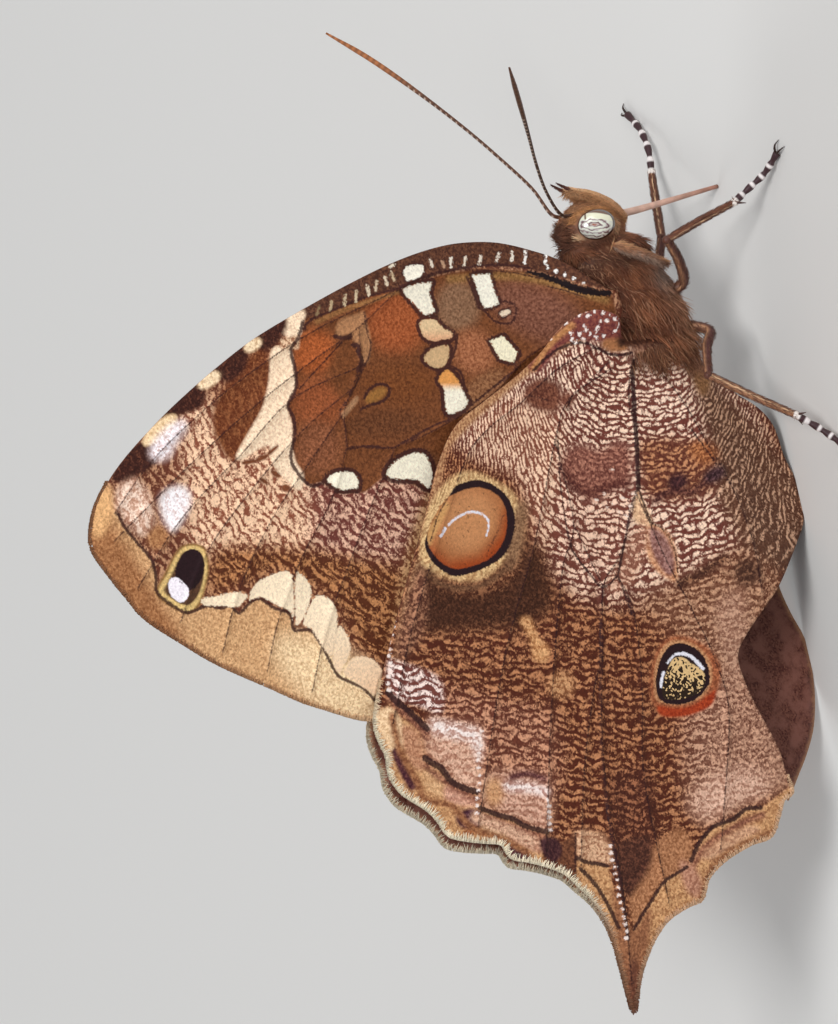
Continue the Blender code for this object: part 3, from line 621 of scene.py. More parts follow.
    # Tip and outer margin, clear of ripples.
    for row in (
        (patch("60 470 100 494 116 513 125 528 134 539 141 547 151 559 157 576 158 591 172 603 188 611 "
            "206 606 220 608 231 606 239 613 251 602 261 599 274 608 290 614 294 630 310 630 321 644 "
            "337 674 348 681 364 689 376 702 400 712 390 760 60 720"), (190, 140, 96), (224, 178, 130),
            0.55, 2.4, (0.0, 0.2)),
        (patch("60 490 96 500 128 545 160 600 186 640 60 640"), (140, 84, 48), (174, 118, 76), 0.5, 22,
            felt, 0.9),
        (oval((102, 512), 10, 26, 12), (214, 160, 108), (238, 186, 130), 0.6, 12, felt),
        (oval((336, 682), 72, 30, 34), (226, 184, 138), (250, 220, 176), 0.6, 30, felt),
    ):
        coat.area(*row)
    # Dark and pale blotches along the leading edge near the tip.
    for outline in ("160 420 170 396 196 380 206 392 200 408 184 414 172 418", "112 478 126 452 146 440 "
        "158 446 156 462 140 474 126 482", "212 370 236 346 248 354 244 370 228 382", "256 338 280 314 "
        "287 326 274 346 262 350"):
        coat.area(rounded(outline), (58, 28, 22), (104, 60, 44), 0.16, 6, (0.5, 0.5))
    for shape in (oval((253, 345), 10, 6, -34), oval((209, 380), 13, 7, -32)):
        coat.area(shape, (224, 184, 142), (254, 228, 190), 0.7, 4, (0.0, 0.5))
    for row in (
        (oval((160, 430), 22, 8, -42), (236, 192, 142), (252, 222, 178), 0.7, 4, felt),
        ("150 450 158 436 172 424 184 421 186 430 176 444 168 458 154 460", (222, 190, 184),
            (255, 246, 250), 0.7, 12, (0.2, 0.5)),
        ("160 498 168 489 180 486 189 492 190 506 182 522 173 531 166 524 161 510", (232, 204, 200),
            (255, 250, 252), 0.8, 11, (0.2, 0.5)),
        ("119 490 134 480 148 496 152 520 142 534 128 522 118 506", (204, 150, 122), (254, 226, 206),
            0.6, 14, (0.4, 0.6)),
        (oval((158, 538), 10, 12, 20), (150, 96, 60), (184, 132, 88), 0.5, 8, felt),
    ):
        coat.area(*row)
    # The chain of pale cells across the wing, the spots under it and the crescents of the margin.
    coat.spots(rounded("405 268 414 265 424 266 421 276 408 281 404 276"), (248, 240, 222), 2.0)
    coat.spots(patch("402 289 415 284 432 282 429 293 432 303 435 311 431 314 424 315 415 305 407 297"),
        (246, 238, 218), 4.4)
    coat.spots(rounded("420 322 429 319 437 321 443 328 452 333 451 338 444 339 433 341 423 335"),
        (228, 196, 152), 4.0, ((226, 170, 130), 326, 342))
    coat.spots(rounded("430 350 441 346 449 347 448 359 444 366 437 368 427 363 424 358"),
        (208, 172, 128), 4.0)
    coat.spots(rounded("440 376 447 370 454 375 462 388 465 396 468 403 461 410 451 414 446 410 445 400 "
        "444 389 439 382"), (228, 156, 84), 4.4, ((252, 244, 222), 382, 392))
    coat.spots(patch("472 275 490 274 494 290 499 303 492 307 484 308"), (250, 244, 226), 3.4)
    coat.spots(patch("490 341 503 336 518 353 513 363 500 359"), (250, 240, 208), 4.0)
    coat.spots(oval((505, 313), 6, 3, -20), (236, 214, 186), 2.0)
    coat.spots(rounded("327 480 331 475 342 472 353 473 358 480 357 489 353 488 342 490 333 485"),
        (251, 242, 218), 4.6)
    coat.spots(rounded("386 474 396 461 415 453 426 456 432 472 429 488 420 482 415 479 398 479"),
        (251, 242, 218), 5.0)
    for outline in ("202 599 216 596 236 592 247 595 243 602 237 607 222 606 204 605", "249 600 255 585 "
        "271 575 287 571.5 292 578 294 600 293 620 290 611 275 604 261 597", "295.5 576 304 577 311 588 "
        "309 605 300 624 296 625", "303 624 315 597 328 598 335.5 609 337 626 331 655 321 644 311 628",
        "338 627 348 637 350 652 343 667 339 673 333 660", "344 674 347 666 356 657 373 659 382 671 387 "
        "686 383 702 371 692 359 685 351 679"):
        coat.spots(rounded(outline), (252, 230, 198), 0.0, ((246, 208, 170), 600, 700))
    # Eyespot of the tip: a yellow ring round black and white.
    coat.plain(rounded("182 546 194 543.5 205 548 209 567 206 587 200 605 188 614 172 608 157 596.5 "
        "156.5 588 165 573 173 557"), (150, 108, 60), 2.4)
    coat.plain(rounded("183 548 194 545.5 203.5 550 207.5 567 204.5 586 198.5 603 187.5 612 173 606 "
        "159.5 595.5 159 588.5 167 575 174.5 559"), (232, 196, 128), 2.0)
    coat.plain(rounded("183 553 193 550 201 553.5 204.3 567 202 585 196.5 598 187 605.5 175.5 601 165 "
        "592.5 165 588 171.5 575.5 178 561"), (92, 62, 44), 2.0)
    coat.eyespot(oval((189.8, 570.0), 14.0, 21.5, 14), rounded("168.5 582 174 577 181 580 188.5 589 "
        "187.5 598 180 602.5 170.5 595"), (248, 240, 248))
    # Lines: the field's border, the vein across it, the groove by the leading edge, the margin's wave.
    for line, width in (("303 322 298 338 291 350 295 368 296 388 288 405 294 419 294 438 291 459 300 "
        "476 312 486 324 482", 3.6), ("348 449 369 446 391 448 408 440 433 426 456 416 480 398 520 366",
        2.4), ("304 330 309 321 331 311 346 305 369 296 400 288 420 279 439 273 459 269 480 266 504 265 "
        "530 268", 2.6), ("118 514 125 528 134 539 141 547 151 559 156 576 157 592 172 605 188 612.5 "
        "206 606 220 608 231 606 239 613 251 602 261 599 274 608 290 614 294 630 310 630 321 644 337 "
        "674 348 681 364 689 378 704", 3.4), ("546 286 566 291 584 297", 1.4), ("364 312 368 336 371 "
        "343 369 356 363 368 357 382 349 398 340 411 345 426 347 446", 1.7), ("342 342 320 366 299 389",
        1.4), ("335 336 343 338 351 337", 4.2), ("353 345 359 346 358 352", 4.6), ("360 355 362 362 358 "
        "371", 4.4), ("364 398 370 389 379 384 388 386 389 395 381 402 370 405 361 409", 3.0), ("441 "
        "343 452 341 457 334", 3.0), ("457 335 456 347 451 360", 3.0), ("452 366 460 372 464 382 464 "
        "394 470 399", 2.6), ("467 278 472 288 479 308", 3.4), ("484 310 496 322 512 322 516 306 500 "
        "300", 2.2)):
        coat.lines(stroke(line, width))
    coat.spots(patch("528 270 545 273 560 279 582 286 600 290 612 290.5 611 296 594 296 574 292 556 284 "
        "540 277 526 273"), (30, 17, 19))
    dx, dy = seen[:, 0] - 560, seen[:, 1] - 272
    reach = np.hypot(dx, dy)
    rows = [np.arctan2(dx, dy) * reach / 15.0, reach / 8.6, np.zeros(len(seen))]
    return coat.finished(np.stack(rows, axis=1))


def hindwing_markings(flat, seen, vein_gap, edge_gap):
    coat = Coat(seen, vein_gap * PIXELS_PER_MM - 0.6, (84, 38, 24), (190, 130, 90), 0.43, (0.6, 1.0))
    dashes, streaks, felt = (1.0, 1.0), (0.9, 0.9), (0.0, 0.15)
    for row in (
        ("640 300 560 335 500 380 455 430 470 450 520 470 545 520 556 570 590 600 650 600 700 575 750 "
            "540 780 500 760 420 730 380 700 330", (112, 58, 48), (250, 216, 190), 0.48, 34, dashes),
        ("470 420 520 395 560 420 556 520 540 540 520 480 480 456", (132, 76, 58), (244, 204, 174),
            0.56, 30, dashes),
        ("560 500 626 496 616 560 596 586 566 566", (116, 64, 52), (244, 204, 178), 0.56, 24, dashes),
        ("640 600 700 570 770 540 790 620 760 720 720 700 680 640", (104, 58, 40), (200, 152, 120),
            0.48, 40, (0.6, 0.8)),
        ("716 610 742 592 752 640 764 696 782 740 790 784 756 790 722 780 706 744 724 690",
            (142, 96, 76), (200, 156, 130), 0.5, 26, (0.4, 0.5)),
        (patch("704 360 716 380 760 430 800 480 812 560 780 570 744 550 716 500 706 430 696 390"),
            (92, 56, 40), (208, 164, 134), 0.38, 22, streaks),
    ):
        coat.area(*row)
    for line in ("594 590 602 700 613 850", "626 590 638 700 652 850", "560 590 552 680 548 790"):
        coat.area(stroke(line, 9.0), (68, 30, 20), (158, 98, 64), 0.36, 16, (0.6, 0.9), 0.6)
    for row in (
        ("440 690 500 700 552 716 556 790 500 780 450 730", (104, 54, 40), (208, 150, 118), 0.48, 34),
        ("612 780 640 768 656 800 654 850 640 882 622 880 611 840", (70, 34, 26), (150, 92, 66), 0.36,
            22, (0.6, 0.9), 0.7),
        ("690 700 760 680 780 760 740 790 690 800", (116, 70, 54), (210, 162, 134), 0.5, 36),
        ("690 326 706 338 712 352 711 382 704 396 694 384 684 350", (128, 86, 54), (158, 114, 76), 0.5,
            8, felt),
        ("626 316 700 312 716 346 702 374 676 364 652 370 636 362 626 344", (98, 58, 44),
            (146, 100, 76), 0.5, 20, felt, 0.92),
    ):
        coat.area(*row)
    # Pale strip and shoulder lobe at the leading edge.
    for row in (
        (patch("600 318 560 338 520 368 470 405 440 440 430 500 438 500 447 450 478 418 520 382 562 350 "
            "602 330"), (142, 90, 60), (196, 150, 108), 0.5, 7, (0.0, 0.4)),
        ("430 500 424 540 408 585 396 640 388 700 394 700 410 620 428 560 436 510", (150, 98, 66),
            (206, 164, 122), 0.5, 5, felt),
        ("528 366 548 340 563 326 580 315 602 308 618 314 628 326 624 342 600 342 580 340 560 348 540 "
            "372", (108, 50, 50), (140, 78, 64), 0.4, 5, felt),
    ):
        coat.area(*row)
    coat.plain(rounded("604 340 618 338 628 342 626 350 612 352 602 347"), (172, 114, 74), 4)
    coat.area(stroke("572 325 556 338 545 350 534 368", 6.0), (160, 104, 58), (198, 140, 90), 0.6, 5,
        felt)
    # Plain dark shadow under the great eyespot.
    for row in (
        ("414 590 424 560 440 584 480 592 512 574 526 540 546 566 552 606 520 626 460 630 420 628",
            (60, 32, 20), (96, 58, 40), 0.3, 24, (0.3, 0.4)),
        ("394 650 404 606 418 570 428 590 424 632 404 660", (88, 48, 36), (176, 124, 94), 0.44, 12,
            (0.5, 0.8)),
    ):
        coat.area(*row)
    # Brown blotches of the cell.
    for row in (
        ("526 386 540 378 558 384 562 398 556 412 538 410 524 400", (96, 50, 38), (140, 88, 66), 0.4,
            10, (1.0, 0.45)),
        (oval((567, 400), 7, 8), (104, 56, 42), (150, 98, 76), 0.4, 8, (1.0, 0.5)),
        ("560 470 566 452 580 444 600 449 616 441 629 447 632 466 629 484 616 488 604 497 592 501 580 "
            "494 570 484", (104, 54, 46), (184, 126, 104), 0.44, 14, (1.0, 0.6)),
        (stroke("566 476 578 488 592 492 612 486 628 484", 8.0), (80, 38, 34), (136, 82, 66), 0.35, 9,
            (1.0, 0.6)),
        ("642 440 700 444 716 484 690 500 652 498 642 480", (98, 48, 36), (200, 140, 100), 0.42, 18,
            (1.0, 0.9)),
        (oval((704, 452), 16, 12, 30), (120, 62, 36), (196, 128, 82), 0.5, 12, (1.0, 0.6)),
        (oval((678, 482), 11, 9, -20), (52, 26, 30), (96, 56, 54), 0.35, 10, (1.0, 0.6)),
        (oval((714, 475), 13, 8, -30), (50, 28, 32), (104, 72, 76), 0.35, 10, (1.0, 0.6)),
        (stroke("656 500 668 492 690 492 704 484", 7.0), (62, 30, 30), (128, 78, 66), 0.35, 8,
            (1.0, 0.6)),
        (oval((748, 572), 14, 14), (70, 42, 32), (128, 88, 66), 0.34, 14, (0.8, 0.7)),
        (stroke("680 584 700 574 724 558", 9.0), (66, 36, 28), (146, 98, 70), 0.34, 10, (0.8, 0.8)),
        ("646 520 654 524 668 532 677 552 677 580 664 576 650 562 644 540", (176, 112, 76),
            (222, 166, 126), 0.6, 4, (0.5, 0.4)),
        ("650 528 661 531 671 546 675 566 669 576 657 562 650 544", (126, 80, 72), (172, 128, 118), 0.5,
            5, (0.0, 0.5)),
        ("638 490 645 504 652 520 646 526 634 520 633 504", (186, 134, 104), (242, 202, 160), 0.6, 5,
            (0.6, 0.5)),
        ("604 590 618 562 634 530 648 530 640 570 624 590", (138, 84, 66), (232, 188, 160), 0.5, 10,
            (1.0, 0.9)),
    ):
        coat.area(*row)
    # Ochre spots of the disc.
    for row in (
        ("520 620 530 618 538 636 549 648 546 661 534 659 530 640", (170, 110, 66), (226, 172, 120),
            0.65, 7, (0.8, 0.6)),
        (oval((561, 685), 13, 12), (146, 92, 58), (214, 160, 114), 0.6, 14, (0.8, 0.8)),
    ):
        coat.area(*row)
    # Pink and lilac near the left and lower margins: the pale pink and lilac patches are painted highlight,
    # the light reflected off the curved wing; the dark strokes and brown patches among them are markings.
    for row in (
        ("388 662 406 664 440 680 441 712 420 706 392 694", (120, 66, 58), (252, 228, 218), 0.42, 8,
            (0.3, 1.0)),
        ("427 722 446 722 480 730 481 752 478 788 460 786 444 768 428 752", (172, 116, 92),
            (232, 188, 162), 0.56, 18, (0.25, 0.6)),
        ("432 720 456 724 480 732 479 760 470 742 452 738 434 732", (196, 148, 132), (254, 240, 234),
            0.56, 14, (0.3, 0.8)),
        ("482 782 500 772 546 780 548 828 524 822 492 808 480 800", (160, 106, 84), (224, 178, 154),
            0.54, 20, (0.25, 0.6)),
        (oval((494, 792), 10, 14), (182, 126, 86), (218, 166, 122), 0.6, 12, (0.4, 0.5)),
        (stroke("508 786 530 788 545 792", 9.0), (188, 140, 128), (252, 236, 230), 0.6, 10, (0.4, 0.9)),
        (stroke("512 777 528 774 544 779", 6.0), (74, 34, 40), (140, 88, 84), 0.3, 7, (0.3, 0.8)),
        ("690 806 704 782 740 768 762 776 766 794 740 806 708 822", (164, 114, 92), (230, 188, 164),
            0.56, 26, (0.3, 0.5)),
        ("576 832 604 836 612 862 598 864 578 856", (166, 112, 82), (226, 182, 146), 0.55, 9,
            (0.4, 0.5)),
        ("640 862 676 830 690 840 690 862 664 880 650 900 636 926 630 900", (150, 96, 62),
            (190, 134, 96), 0.5, 8, felt),
        ("618 846 648 836 652 860 640 884 626 896 616 870", (66, 36, 28), (110, 66, 50), 0.35, 10,
            (0.0, 0.5)),
    ):
        coat.area(*row)
    # Outer margin beyond the dark line.
    for row in (
        (patch("368 716 384 708 396 716 410 722 420 730 426 759 440 767 452 782 476 792 481 808 498 815 "
            "513 819 525 826 547 831 558 850 576 857 599 864 608 866 616 900 632 936 642 919 651 902 "
            "663 883 687 867 692 858 698 845 715 826 734 819 746 809 762 808 800 780 840 840 700 960 "
            "633 1030 560 920 440 870 360 800"), (170, 116, 76), (216, 166, 118), 0.55, 3, (0.0, 0.35)),
        ("374 716 390 708 402 724 404 744 394 756 384 738", (230, 184, 138), (250, 216, 174), 0.6, 6,
            felt),
    ):
        coat.area(*row)
    for outline, dark, pale in (("402 726 418 732 424 750 424 770 412 766 404 748", (168, 112, 82),
        (206, 152, 118)), ("424 768 438 772 446 788 438 796 426 786", (198, 148, 104), (232, 186, 140)),
        ("446 786 470 794 478 806 462 806 446 800", (184, 126, 104), (226, 174, 148)), ("480 812 500 "
        "820 512 832 496 836 480 826", (206, 158, 106), (238, 196, 146)), ("510 826 530 832 548 838 546 "
        "852 526 850 510 840", (180, 124, 98), (222, 170, 140)), ("700 856 722 838 748 826 760 830 740 "
        "842 716 858", (182, 130, 100), (222, 174, 138))):
        coat.area(rounded(outline), dark, pale, 0.5, 7, (0.0, 0.5))
    for row in (
        ("458 812 478 810 482 824 470 830 458 824", (66, 30, 44), (100, 60, 70), 0.3, 4, felt),
        (stroke("464 833 478 831 488 836", 4.0), (146, 78, 40), (180, 104, 58), 0.5, 4, felt),
        ("612 890 632 930 650 908 648 950 634 1005 620 960", (132, 82, 56), (166, 112, 78), 0.45, 8,
            felt),
        (oval((634, 985), 7, 26), (96, 54, 40), (124, 76, 56), 0.4, 10, felt),
    ):
        coat.area(*row)
    for line in ("396 752 402 768 412 786", "510 850 524 858 536 866"):
        coat.area(stroke(line, 9.0), (70, 32, 42), (104, 60, 60), 0.3, 4, felt)
    for line in ("389 697 410 718 428 736", "426 766 446 782 476 799", "480 814 512 826 546 838", "694 "
        "864 704 848 736 826 762 815"):
        coat.area(stroke(line, 7.0), (118, 68, 54), (176, 120, 92), 0.4, 7, (0.3, 0.6))
    for row in (
        (stroke("392 716 399 748 418 783 425 799 452 806 470 826 505 840 528 852", 7.0), (128, 76, 50),
            (170, 116, 78), 0.5, 5, (0.0, 0.6)),
        (stroke("700 896 716 862 742 846 774 832", 7.0), (134, 84, 56), (176, 124, 86), 0.5, 5,
            (0.0, 0.6)),
        (patch("540 838 558 846 576 834 577 884 560 878 545 868"), (92, 52, 36), (130, 82, 56), 0.4, 3,
            felt),
        ("540 840 556 838 562 850 556 862 544 856", (58, 28, 34), (92, 56, 54), 0.3, 4, felt),
        ("680 862 694 866 702 884 696 898 684 886", (164, 108, 84), (196, 144, 118), 0.5, 8, felt),
    ):
        coat.area(*row)
    # White flecks on the shoulder lobe and dotted veins.
    for number, place in enumerate(at("577 311 579 315 586 311 588 316 594 311 564 319 566 323 557 325 "
        "584 326 586 330 598 327 600 321 607 321 603 313 611 315 616 319 623 321 624 326 615 331 618 "
        "325 597 331 580 334 572 339 590 334 596 337 583 339 604 336 549 334 546 338 551 339 576 342 "
        "571 333")):
        fleck = oval(place, 2.5 - number % 3 * 0.5, 1.5 + number % 2 * 0.4, 50 + 40 * (number % 4))
        coat.spots(fleck, (252, 238, 230))
    for number, place in enumerate(at("612 470 604 494 614 503 622 498 630 506 619 512 608 508 596 500 "
        "634 494 626 516")):
        coat.spots(oval(place, 2.2, 0.9 + number % 2 * 0.3, 20 - 15 * (number % 3)), (246, 222, 206))
    random.seed(4)
    for line in ("482 731 479 760 478 790 477 813", "611 846 616 880 622 910 627 938", "394 620 390 650 "
        "388 690", "547 800 549 812 550 830"):
        for x, y in curve_through(line, 7.0):
            coat.spots(oval((x + random.uniform(-1.2, 1.2), y), 2.0, 1.7), (250, 232, 224))
    # Lines: the thick dark vein, the shoulder line, the cell's fork, and the wave of the margin.
    for line, width in (("634 361 633 380 635 420 637 450 638 478 638.5 488", 4.6), ("638 486 644 504 "
        "652 524", 2.0), ("638 487 632 504 628 524 618 576", 2.4), ("618 576 603 587 590 574 573 551 "
        "567 530", 2.2), ("567 530 560 480 558 440", 1.4), ("618 576 624 592 632 614", 2.2), ("603 587 "
        "600 640 601 720 606 800 612 840", 1.8), ("534 370 546 358 560 348 575 343 586 343 597 348 609 "
        "354 621 355 632 353", 3.0), ("610 361 590 380 572 396 568 410", 1.6), ("692 430 712 458 730 "
        "484", 1.8), ("548 400 530 396", 1.2), ("650 522 664 530 674 548 678 572", 1.8), ("388 692 397 "
        "702 410 712 427 729", 6.4), ("425 758 434 764 441 768 451 781 464 788 477 792", 6.4), ("480 "
        "808 498 815 513 819 525 826 547 832", 5.4), ("576 857 586 862 599 864 608 866", 4.0), ("580 "
        "868 595 884 607 903 619 928", 4.0), ("634 929 644 912 651 902 663 883 676 874 687 867", 3.4),
        ("691 861 698 845 706 834 715 826 734 819 746 809 761 808", 4.4), ("557 862 559 876", 1.8),
        ("575.5 833 575.5 880", 1.6), ("613 842 622 890 628 940", 3.4)):
        coat.lines(stroke(line, width))
    # The great eyespot: a pale ring of hair, a black ring open on the left, and a glossy disc.
    for row in (
        ("420 556 421 534 428 510 438 492 449 479 461 472.5 473 471.5 487 476 500 483 512 491 518.5 504 "
            "521.5 522 519 538 510.5 554 498 568 487 576.5 472 581 454 580 436 573.5 423 564",
            (180, 134, 90), (226, 190, 138), 0.55, 6, (0.0, 0.6)),
        (oval((516, 536), 9, 36, 12), (116, 80, 56), (156, 118, 86), 0.5, 10, felt),
        (stroke("428 574 442 584 460 588 478 586 496 577 510 562", 7.0), (84, 52, 36), (126, 88, 62),
            0.5, 6, felt),
    ):
        coat.area(*row)
    coat.eyespot(rounded("447 500 455 487 466 482 477 480 487 482 495 486 504 493 511 503 515 518 513 "
        "536 505 554 493 563.5 476 571.5 455 576 440 569 430 558 424.7 545 428 532 438 514"),
        rounded("443 502 452 495 462 490.5 474 487.5 485 488.5 496 494 503.5 503 507 518 505.5 534.5 "
        "499 549 488 559.5 472.5 566 456 569 442 563 432 552 427.5 541 429 528 436 513"),
        (168, 104, 62))
    coat.disc_shade(oval((468, 520), 28, 32, 20), (196, 136, 90), 26)
    coat.disc_shade(patch("430 548 450 562 480 556 500 534 505 510 520 510 516 560 470 590 420 570"),
        (156, 66, 26), 18)
    coat.disc_shade(patch("424 545 428 530 446 500 450 506 436 534 430 545"), (196, 146, 92), 4)
    coat.lines(stroke("447 499 438 516 430.5 541", 1.3))
    coat.lines(stroke("504 515 498 530 489 551", 1.2))
    for line, width in (("441 536.5 442.5 534", 2.6), ("444 530.5 445.5 528", 2.8), ("448.5 525 453 "
        "520.7 458 517 463 514.5", 2.2), ("466 513 472.5 512 478 512.8", 2.4), ("481 513.7 485.5 516.5 "
        "488.3 521 488.8 527", 1.9), ("488 530.5 486.4 535.5", 1.6)):
        coat.gleams(stroke(line, width))
    # The small eyespot: rust and cream round a black ring with a peppered centre.
    for row in (
        ("674 636 661 644 653 662 650 684 653 704 664 716 684 716 702 708 716 694 721 674 717 658 706 "
            "646 690 638", (132, 70, 44), (176, 104, 68), 0.5, 5, (0.0, 0.3)),
        ("676 640 664 646 656 662 654 684 657 700 668 704 684 704 700 698 710 686 712 668 704 652 690 "
            "642", (174, 116, 78), (208, 156, 112), 0.5, 3, felt),
        ("658 706 676 708 694 705 710 694 716 690 712 704 694 714 672 717 660 714", (148, 48, 22),
            (176, 70, 36), 0.5, 3, felt),
    ):
        coat.area(*row)
    coat.eyespot(rounded("679 643 689 645 700 652 707 664 710 678 707 688 696 699 682 704 668 704 659 "
        "698 656 685 657.5 670 662.5 655 670 646"), rounded("673 659 682 657 692 663.5 703 671 705 682 "
        "700 692 683 699 666 699 662 690 665 676 668 668"), (222, 186, 132),
        0.2 + 0.62 * smooth_step(662, 692, seen[:, 1] - 0.3 * (seen[:, 0] - 684)))
    for line, width in (("676 654.5 682 653.5 688 655 694 659 699 664 703 668.5", 3.2), ("673.5 656 670 "
        "660 667.5 663", 2.0), ("664 672 662 678 661 687", 2.8)):
        coat.gleams(stroke(line, width))
    dx, dy = seen[:, 0] - 640, seen[:, 1] - 325
    bent = np.sqrt(dy ** 2 + 0.0054 * np.abs(dx) ** 3.24)
    rows = bent + (np.abs(dy) + 0.12 * np.abs(dx) - bent) * smooth_step(120, 300, dy)
    along = np.sign(dx) * np.hypot(dx, rows - dy)
    stops = np.arange(0.0, 1000.0, 5.0)
    counted = np.cumsum(5.0 / (5.8 + 2.2 * smooth_step(80, 320, stops)))
    size = 9.0 + 3.5 * smooth_step(80, 320, rows)
    for row in (
        (stroke("476 817 492 825 512 832 532 842", 11.0), (164, 112, 88), (228, 184, 154), 0.6, 7,
            (0.0, 0.4)),
        (oval((664, 392), 20, 28), (124, 70, 58), (252, 220, 196), 0.58, 26, dashes, 0.8),
        # A dark strip along the root edge beside the thorax hair: painted shade on the wing's front edge.
        (stroke("622 342 660 341 704 338", 10.0), (62, 34, 24), (92, 56, 40), 0.4, 5, felt),
    ):
        coat.area(*row)
    places = [along / size, np.interp(rows, stops, counted), np.zeros(len(seen))]
    return coat.finished(np.stack(places, axis=1))


def linked(tree, kind, settings=(), **inputs):
    """A shader node. An input may be a number, a colour or another node's output."""
    made = tree.nodes.new(kind)
    for key, value in dict(settings).items():
        setattr(made, key, value)
    for key, value in inputs.items():
        socket = made.inputs[int(key[1:])] if key[0] == "i" and key[1:].isdigit() else made.inputs[key]
        if isinstance(value, bpy.types.NodeSocket):
            tree.links.new(value, socket)
        else:
            socket.default_value = value
    return made


def sums(tree, operation, first, second=0.0, third=0.0, clamp=False):
    made = linked(tree, "ShaderNodeMath", {"operation": operation, "use_clamp": clamp}, i0=first, i1=second)
    if operation in ("MULTIPLY_ADD", "SMOOTH_MIN"):
        socket = made.inputs[2]
        if isinstance(third, bpy.types.NodeSocket):
            tree.links.new(third, socket)
        else:
            socket.default_value = third
    return made.outputs[0]


def mixed(tree, share, first, second, blend="MIX"):
    """Colour mix."""
    made = tree.nodes.new("ShaderNodeMix")
    made.data_type = "RGBA"
    made.blend_type = blend
    for socket, value in ((made.inputs[0], share), (made.inputs[6], first), (made.inputs[7], second)):
        if isinstance(value, bpy.types.NodeSocket):
            tree.links.new(value, socket)
        else:
            socket.default_value = value
    return made.outputs[2]


def colour(red, green, blue):
    return (*tint(red, green, blue), 1.0)


def point_value(tree, name, output="Fac"):
    return linked(tree, "ShaderNodeAttribute", {"attribute_name": name}).outputs[output]


def ramp(tree, share, stops):
    """Colours along a number; each stop is (place, colour)."""
    made = linked(tree, "ShaderNodeValToRGB", i0=share)
    while len(made.color_ramp.elements) < len(stops):
        made.color_ramp.elements.new(1.0)
    for element, (place, shade) in zip(made.color_ramp.elements, stops):
        element.position = place
        element.color = shade
    return made.outputs[0]


def below(tree, value, limit, soft):
    """One where the value is under the limit, nought over it, over a soft edge."""
    return sums(tree, "MULTIPLY_ADD", value, -1.0 / soft, 0.5 + limit / soft, clamp=True)


def new_material(name):
    made = bpy.data.materials.new(name)
    made.use_nodes = True
    return made, made.node_tree, made.node_tree.nodes["Principled BSDF"]


